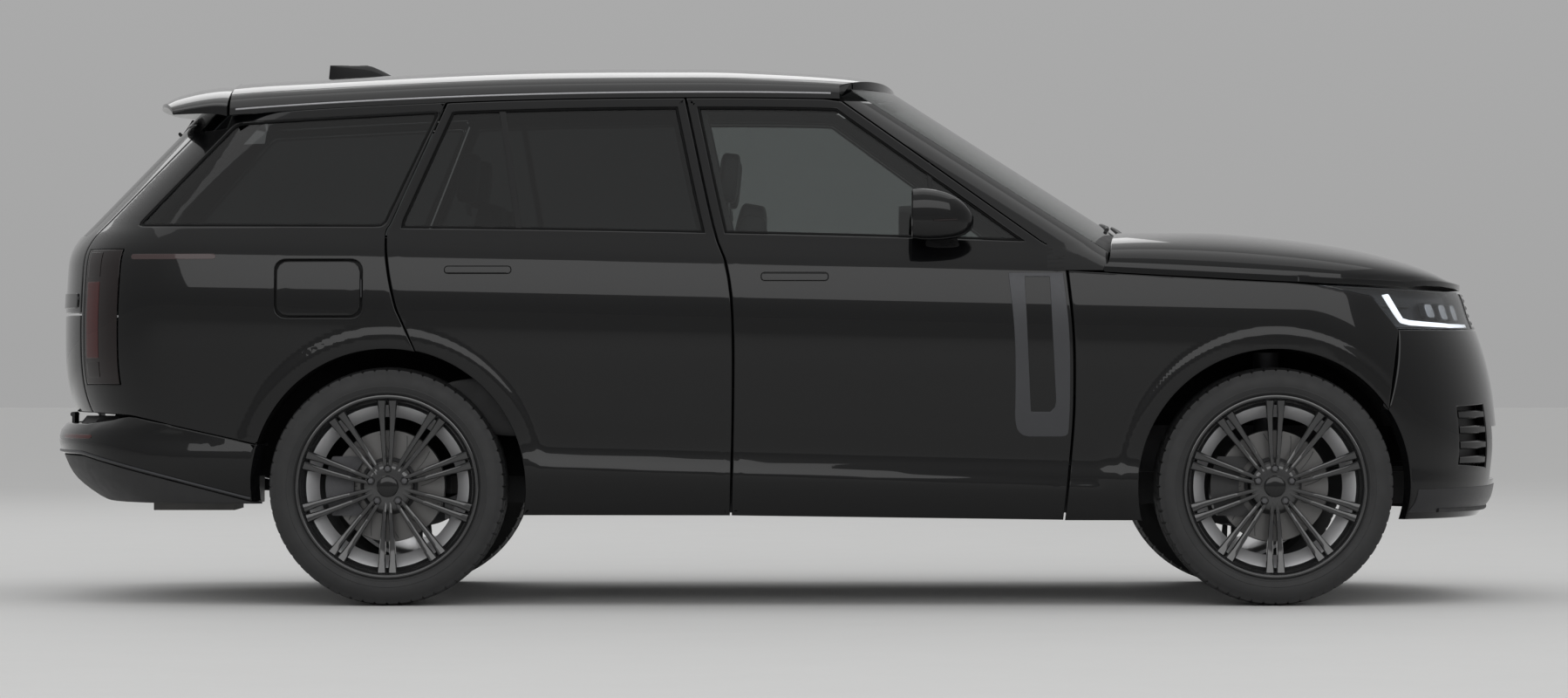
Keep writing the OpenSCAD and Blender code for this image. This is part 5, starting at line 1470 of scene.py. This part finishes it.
def buildTyre(name, x, sign, body, node):
    place = wheelPlace(x, sign)
    s = Sheet()
    rimR = car["rimR"]
    outer = tyre["outer"]
    # cross-section from the outer bead over the tread to the inner bead
    side1 = [(rimR + 2.6, 100), (rimR + 2.6, 114), (rimR + 14, 121.5), (rimR + 17, 126), (rimR + 20, 128),
             (rimR + 24, 133.5), (rimR + 27, 135.5), (rimR + 29, 135.2), (rimR + 36, 139), (rimR + 44, 141.4),
             (rimR + 46, 142.4), (rimR + 48, 141.6), (rimR + 56, 142.5), (rimR + 66, 142), (rimR + 78, 139.6),
             (rimR + 86, 136.4), (rimR + 92, 133)]
    edge = tyre["halfTread"]
    crowned = [(outer - 8.5 * (abs(v) / edge) ** 4, v) for v in np.linspace(edge, -edge, 30)]
    section = side1 + crowned + [(r, -v) for r, v in side1[::-1]]
    n = tyre["blocks"] * 8
    ang = fullTurn(n)
    grooves = (72, 26, -26, -72)
    rows = []
    phase = np.arange(n) % 8
    for r, v in section:
        rr = np.full(n, float(r))
        if abs(v) <= 130 and r > outer - 12:
            inGroove = min(abs(v - g) for g in grooves) < 5.5
            if inGroove:
                rr -= tyre["groove"]
            elif abs(v) > 76:
                rr -= np.where(phase == 0, 5.0, 0)  # shoulder lugs
            elif 30 < abs(v) < 70:
                rr -= np.where((phase == 4), 4.0, 0)
            elif abs(v) < 22:
                rr -= np.where((phase == (2 if v > 0 else 6)), 2.5, 0)
        elif abs(v) > 130 and outer - 20 < r:
            rr -= np.where(phase == 0, 2.0, 0)
        rows.append(place(rr, ang, v + 0 * ang))
    rows = np.array(rows)
    s.grid(rows, 0, closeV=True)
    inner = [(rimR + 2.6, -100), (rimR + 26, -112), (rimR + 62, -128), (outer - 28, -112), (outer - 20, -80),
             (outer - 20, 80), (outer - 28, 112), (rimR + 62, 128), (rimR + 26, 112), (rimR + 2.6, 100)]
    a2 = fullTurn(96)
    s.grid(np.array([place(np.full(96, r), a2, v + 0 * a2) for r, v in inner]), 0, closeV=True)
    s.piece(name, rubber, body, "tyre", node, sharp=28)


rimShape = {"spokes": 10, "lugCircle": 60, "lugs": 5}


def lathe(sheet, place, profile, mat=0, n=120):
    a = fullTurn(n)
    sheet.grid(np.array([place(np.full(n, r), a, w + 0 * a) for r, w in profile]), mat, closeV=True)


def spokeBar(sheet, place, a0, off0, off1):
    # one bar of a twin spoke, from the hub to the rim: crowned on top, deeper at the hub
    r = np.linspace(48, 290, 28)
    off = np.interp(r, [48, 90, 150, 240, 290], [off0 * 0.7, off0, mix(off0, off1, 0.5), off1, off1 * 1.05])
    half = np.interp(r, [48, 100, 180, 250, 290], [6.4, 7.8, 9.4, 11.6, 16])
    top = np.interp(r, [48, 70, 84, 110, 160, 220, 262, 290], [94, 98, 102, 102, 104, 109, 115, 122])
    low = np.interp(r, [48, 110, 190, 290], [66, 74, 78, 100])
    ring = [(-1, 0), (-1, 0.72), (-0.72, 0.93), (0, 1.0), (0.72, 0.93), (1, 0.72), (1, 0)]
    ca, sa = math.cos(a0), math.sin(a0)
    rows = []
    for hx, k in ring:
        tx = off + hx * half
        px, pz = r * ca - tx * sa, r * sa + tx * ca
        rad, ang = np.hypot(px, pz), np.arctan2(pz, px)
        rows.append(place(rad, ang, mix(low, top, k)))
    sheet.bar(rows)


def buildWheel(name, x, sign, body, node):
    place = wheelPlace(x, sign)
    s = Sheet()
    rimR = car["rimR"]
    lathe(s, place, [(rimR + 16.6, 131), (rimR + 17, 127), (rimR + 15, 124.5), (rimR + 2, 118), (rimR, 92),
                     (rimR - 22, 70), (rimR - 30, 20), (rimR - 30, -30), (rimR - 7, -90), (rimR, -118),
                     (rimR + 16, -124), (rimR + 17, -131)], 0)
    # inner barrel, in light grey metal with painted light in its colour
    lathe(s, place, [(rimR + 17, -131), (rimR + 5, -131), (rimR - 9, -115), (rimR - 16, -90),
                     (rimR - 39, -30), (rimR - 44, 4), (rimR - 58, 32), (rimR - 40, 64), (rimR - 17, 88)], 1)
    lathe(s, place, [(rimR - 17, 88), (rimR - 8, 96), (rimR - 4, 108), (rimR, 118), (rimR + 3, 124),
                     (rimR + 7, 130), (rimR + 10, 132), (rimR + 13, 132), (rimR + 16.6, 131)], 0)
    for k in range(rimShape["spokes"]):
        a0 = math.radians(90 + 36 * k)
        for sgn in (1, -1):
            spokeBar(s, place, a0, sgn * 10, sgn * 18)
    # hub: a dished centre with five nuts and a plain cap
    lathe(s, place, [(0.5, 60), (74, 60), (84, 66), (85, 76), (80, 88), (72, 93), (62, 94.5), (46, 95),
                     (37, 95), (35, 97.5)], 0)
    lathe(s, place, [(35, 96), (34.5, 100.5), (31, 103.4), (16, 105), (0.5, 105.4)], 2)
    for k in range(rimShape["lugs"]):
        a = math.radians(90 + 72 * k)
        cx, cz = rimShape["lugCircle"] * math.cos(a), rimShape["lugCircle"] * math.sin(a)
        for prof, n, mat in (([(14.5, 95.5), (14.5, 98), (12.5, 97), (12.5, 90)], 24, 0),
                             ([(10.5, 88), (10.5, 101), (9, 103), (7, 103.6), (0.4, 104)], 6, 3)):
            ring = fullTurn(n)
            rows = []
            for r, w in prof:
                px, pz = cx + r * np.cos(ring), cz + r * np.sin(ring)
                rows.append(place(np.hypot(px, pz), np.arctan2(pz, px), w + 0 * ring))
            s.grid(rows, mat, closeV=True)
    # brake disc with a bell and slots, and the valve
    lathe(s, place, [(32.5, -17), (188, -17), (190, -15), (190, -6), (187, -4), (187, 4), (190, 6), (190, 15),
                     (188, 17), (98, 17)], 4)
    lathe(s, place, [(98, 17), (86, 20), (82, 28), (82, 59), (32.5, 59), (32.5, -17)], 5)
    for k in range(12):
        a = math.radians(30 * k) + np.linspace(0, 0.18, 7)
        rr = np.linspace(108, 180, 7)
        rows = [place(rr, a + da, w + 0 * rr) for da, w in ((-0.008, 17.2), (0.008, 17.2))]
        s.grid(rows, 5)
    va = math.radians(-58)
    valve = ((34.0, 80.0), (40.0, 96.0), (43.0, 108.0))
    stem = [place(rimR - np.array(r), va, np.array(w)) for r, w in valve]
    tube(s, stem, [4.5, 4.5, 3.6], 3, 10)
    s.piece(name, [rimBlack, barrelMetalPaintedLight, glossBlack, castMetal, discSteel, pressedSteel], body, "wheel",
            node, sharp=35)


def buildWheels():
    for end, x in (("front", frontX), ("rear", rearX)):
        for tail, sign in (("left", 1), ("right", -1)):
            body = f"wheel_{end}_{tail}"
            buildTyre(f"tyre_{end}_{tail}_tread", x, sign, body, f"tyre_{end}_{tail}")
            buildWheel(f"rim_{end}_{tail}", x, sign, body, f"wheel_{end}_{tail}")
    print("wheels made")


seam = {"depth": 6.0, "half": 7.0}


def softBlock(sheet, center, size, lean=0.0, power=(0.28, 0.28), mat=0, channels=(), n=(56, 30)):
    # a crowned padded block; channels are shares of its width or length where seams pull the top in
    th = np.radians(np.linspace(-90, 90, n[1]))[:, None]
    ph = np.radians(np.linspace(-180, 180, n[0], endpoint=False))[None]
    x = size[0] / 2 * bulge(np.cos(th), power[0]) * bulge(np.cos(ph), power[1])
    y = size[1] / 2 * bulge(np.cos(th), power[0]) * bulge(np.sin(ph), power[1])
    z = size[2] / 2 * bulge(np.sin(th), power[0]) + 0 * ph
    top = smooth(z, 0, size[2] / 2)
    z = z + top * 0.06 * size[2] * (np.cos(np.pi * x / size[0]) * np.cos(np.pi * y / size[1]))
    for axis, at in channels:
        d = (x if axis == "x" else y) - at
        z = z - top * seam["depth"] * np.exp(-(d / seam["half"]) ** 2)
    c, s = math.cos(lean), math.sin(lean)
    x, z = x * c + z * s, -x * s + z * c
    sheet.grid(np.stack([x + center[0], y + center[1], z + center[2]], -1), mat, closeV=True)


seat = {"lean": math.radians(-80), "tilt": math.radians(-3), "apart": 375, "wide": 520}


def seatOn(sheet, cx, cy):
    lean, tilt, wide = seat["lean"], seat["tilt"], seat["wide"]
    tuck = [("x", v) for v in (-120, -40, 40, 120)]
    softBlock(sheet, (cx + 22, cy, 722), (462, wide - 120, 152), tilt, channels=tuck)
    for sg in (1, -1):
        softBlock(sheet, (cx + 30, cy + sg * (wide / 2 - 48), 724), (450, 92, 150), tilt, (0.5, 0.3),
                  n=(40, 24))
        softBlock(sheet, (cx - 274, cy + sg * (wide / 2 - 44), 1070), (520, 84, 120), lean, (0.5, 0.35),
                  n=(40, 24))
        tube(sheet, [(cx - 318, cy + sg * 60, 1330), (cx - 324, cy + sg * 60, 1425)], 6, 2, 10)
    softBlock(sheet, (cx - 280, cy, 1078), (585, wide - 110, 100), lean,
              channels=[("x", v) for v in (-200, -120, -40, 40)])
    softBlock(sheet, (cx - 318, cy, 1460), (170, 250, 66), math.radians(-84), (0.35, 0.35),
              channels=[("x", 30)], n=(48, 26))
    softBlock(sheet, (cx - 10, cy, 566), (470, wide - 40, 176), 0, (0.16, 0.16), mat=1, n=(40, 24))
    for sg in (1, -1):  # double stitching beside the bolsters
        for off in (-4, 4):
            path = [(cx + x, cy + sg * (wide / 2 - 92 + off), 798 + 0.052 * x + 1.5)
                    for x in np.linspace(-150, 215, 30)]
            tube(sheet, path, 1.1, 3, 5)


dash = {"behindAxle": 820, "half": 798}
dashSection = [(281, 704), (281, 1118), (240, 1146), (180, 1166), (120, 1170), (60, 1166), (22, 1150),
               (2, 1130), (-14, 1090), (-20, 1045), (-10, 1006), (24, 958), (60, 914), (100, 830), (150, 706)]
displays = ((0, 330, 190, 1074), (375, 320, 120, 1150))  # middle, width, height and centre height of each
seatMats = [leather, darkPlastic, brightTrim, stitchThread]


def buildCabin():
    s = Sheet()
    for sg in (1, -1):
        seatOn(s, frontX - 1530, sg * seat["apart"])
    seats = s.piece("front_seat_pads", seatMats, "body", "leather", "front_seats", sharp=50)
    s = Sheet()
    for sg in (1, -1):
        seatOn(s, rearX + 560, sg * seat["apart"])
    softBlock(s, (rearX + 580, 0, 690), (440, 214, 150), seat["tilt"], channels=[("x", 0)])
    softBlock(s, (rearX + 290, 0, 1040), (430, 214, 84), seat["lean"], channels=[("x", 0)])
    softBlock(s, (rearX + 560, 0, 550), (440, 214, 150), 0, (0.16, 0.16), mat=1)
    bench = s.piece("rear_seat_pads", seatMats, "body", "leather", "rear_seat", sharp=50)
    d = Sheet()
    dashX = frontX - dash["behindAxle"]
    rows = []
    for y in np.linspace(-dash["half"], dash["half"], 70):
        bow = 18 * math.cos(math.pi * y / 1700) - 18
        endIn = 1 - 0.02 * smooth(abs(y), dash["half"] - 58, dash["half"])
        rows.append([(dashX + px + (bow if px < 200 else 0), y, mix(900, pz, endIn))
                     for px, pz in dashSection])
    d.rings(rows, 0)
    softBlock(d, (dashX - 2, 0, 1046), (40, 1560, 44), 0, (0.3, 0.12), mat=1, n=(80, 20))
    softBlock(d, (dashX + 14, 0, 1000), (22, 1500, 12), 0, (0.3, 0.1), mat=2, n=(80, 14))
    for yc, w, h, z in displays:
        softBlock(d, (dashX - 30, yc, z), (10, w, h), math.radians(-10), (0.1, 0.1), mat=3, n=(64, 24))
        softBlock(d, (dashX - 22, yc, z), (16, w + 14, h + 14), math.radians(-10), (0.12, 0.12), mat=1,
                  n=(64, 24))
    softBlock(d, (frontX - 1230, 0, 634), (850, 206, 324), 0, (0.14, 0.12), mat=0, n=(64, 28))
    softBlock(d, (frontX - 1470, 0, 812), (330, 190, 52), 0, (0.3, 0.3), mat=4, n=(56, 24),
              channels=[("y", 0)])
    softBlock(d, (frontX - 1120, 0, 802), (300, 150, 16), 0, (0.2, 0.15), mat=3, n=(48, 16))
    ring = fullTurn(36)
    knob = [(30, 806), (30, 822), (27, 828), (10, 829), (0.5, 829)]
    d.grid(np.array([[(frontX - 1100 + r * math.cos(a), 40 + r * math.sin(a), z) for a in ring]
                     for r, z in knob]), 2, closeV=True)
    d.piece("dashboard_parts", [darkPlastic, leather, brightTrim, screenFace, leather], "body", "trim",
            "dashboard", sharp=42)
    print("cabin made")


mirror = {"rearX": 452, "frontX": 657, "midY": 1020, "midZ": 1321, "halfY": 82, "halfZ": 88}


def buildMirrors():
    s = Sheet()
    n = 48
    ring = fullTurn(n)
    rows = []
    for k in np.linspace(0, 1, 34):
        x = mix(mirror["rearX"], mirror["frontX"], k)
        f = max(0.02, (1 - k ** 2.7)) ** 0.52 * (0.955 + 0.045 * min(1, k * 6))
        y = mirror["midY"] + mirror["halfY"] * bulge(np.cos(ring), 0.62) * f - 14 * k
        sag = 8 * k + 20 * k ** 3 - 10 * k * np.cos(ring)
        z = mirror["midZ"] + mirror["halfZ"] * bulge(np.sin(ring), 0.66) * f - sag
        rows.append(np.stack([x + 0 * ring, y, z], -1))
    rows = np.array(rows)
    s.grid(rows, 0, closeV=True)
    s.add(rows[-1], [range(n)], 0)
    back = [rows[0]]
    for t, k in ((-1.5, 0.955), (9, 0.93), (9, 0.02)):  # rim and recessed glass
        c = rows[0].mean(0)
        back.append(c + (rows[0] - c) * k + (t, 0, 0))
    s.grid(np.array(back[:3]), 1, closeV=True)
    s.grid(np.array(back[2:]), 2, closeV=True)
    lens = np.array([(600, 60, 1300), (560, 76, 1298), (520, 84, 1297)]) * (1, 0.94, 1)
    lens += (0, mirror["midY"], 0)
    tube(s, lens, [2.5, 4, 2.5], 3, 8)
    foot = []
    for k in np.linspace(0, 1, 12):  # foot from the door's waist up to the housing
        x = mix(556, 548, k)
        y = mix(932, 992, k)
        z = mix(1196, 1262, k ** 0.8)
        halfX, halfY = mix(62, 46, k), mix(13, 22, k)
        foot.append(np.stack([x + halfX * bulge(np.cos(ring), 0.7), y + halfY * bulge(np.sin(ring), 0.8),
                              z + 0 * ring], -1))
    s.rings(foot, 1)
    for tail, sheet in (("left", s), ("right", s.otherSide())):
        sheet.piece(f"mirror_{tail}_pod", [blackPaint, glossBlack, mirrorGlass, smokedLens],
                    f"front_door_{tail}", "paint", f"mirror_{tail}", sharp=40)
    print("mirrors made")


kept = {"floor_pan": carpet, "sills": pressedSteel, "bulkhead": darkPlastic, "engine": castMetal,
        "front_axle": castMetal, "rear_axle": castMetal, "exhaust": exhaustSteel, "hinges": pressedSteel,
        "steering_wheel": leather, "arch_liners": archFelt, "knuckle_left": caliperPaint,
        "knuckle_right": caliperPaint}


def dressKept():
    for name, mat in kept.items():
        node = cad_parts[name]
        if not node.material_slots:
            node.data.materials.append(mat)
        for sl in node.material_slots:
            sl.material = mat


studio = {"floor": (0.62, 0.62, 0.615), "world": 0.72, "camera": (0.020, -18.985, 0.866), "lens": 122.7,
          "halfFloor": 60000, "horizon": 0.52, "overhead": 0.95,
          "lights": (("topLight", (0, -0.5, 9.0), (0, 0, 0.6), (14, 8), 240),
                     ("keyLight", (1.5, -14, 5.4), (0, 0, 0.9), (20, 5.5), 520),
                     ("fillLight", (-3, 10, 7.5), (0, 0, 1.0), (11, 4), 160))}


def buildStudio():
    h = studio["halfFloor"]
    paper = finish("floorPaper", studio["floor"], 0.85, spread=0.02,
                   grain=(60, 0.05, 0.001, 2))
    floor = makeMesh("studio_floor", [(-h, -h, 0), (h, -h, 0), (h, h, 0), (-h, h, 0)], [(0, 1, 2, 3)], paper)
    world = bpy.data.worlds.new("studioWorld")
    scene.world = world
    world.use_nodes = True
    tree, link = world.node_tree, world.node_tree.links.new
    back = tree.nodes["Background"]
    back.inputs["Strength"].default_value = studio["world"]
    where = newNode(tree, "TexCoord")  # soft sky: brighter overhead than at the horizon
    split = newNode(tree, "SeparateXYZ")
    ramp = newNode(tree, "ValToRGB")
    for stop, at, level in zip(ramp.color_ramp.elements, (0, 0.75), (studio["horizon"], studio["overhead"])):
        stop.position = at
        stop.color = (level, level, level, 1)
    link(where.outputs["Generated"], split.inputs["Vector"])
    link(split.outputs["Z"], ramp.inputs["Fac"])
    link(ramp.outputs["Color"], back.inputs["Color"])
    for name, place, aim, size, power in studio["lights"]:
        lamp = bpy.data.lights.new(name, "AREA")
        lamp.shape = "RECTANGLE"
        lamp.size, lamp.size_y = size
        lamp.energy = power
        obj = bpy.data.objects.new(name, lamp)
        obj.location = place
        obj.rotation_euler = (Vector(aim) - Vector(place)).to_track_quat("-Z", "Y").to_euler()
        scene.collection.objects.link(obj)
    cam = bpy.data.cameras.new("photoCamera")
    cam.sensor_fit = "HORIZONTAL"
    cam.sensor_width = 36
    cam.lens = studio["lens"]
    cam.clip_end = 200
    obj = bpy.data.objects.new("photoCamera", cam)
    obj.location = studio["camera"]
    obj.rotation_euler = (math.radians(90), 0, 0)
    scene.collection.objects.link(obj)
    scene.camera = obj
    print("studio made")


buildStudio()
buildDoors()
buildVents()
buildAperture()
buildSides()
buildRoof()
buildScreen()
buildBonnet()
buildBayCovers()
buildNose()
buildLamps()
buildTail()
buildRearBumper()
buildWheels()
buildCabin()
buildMirrors()
dressKept()
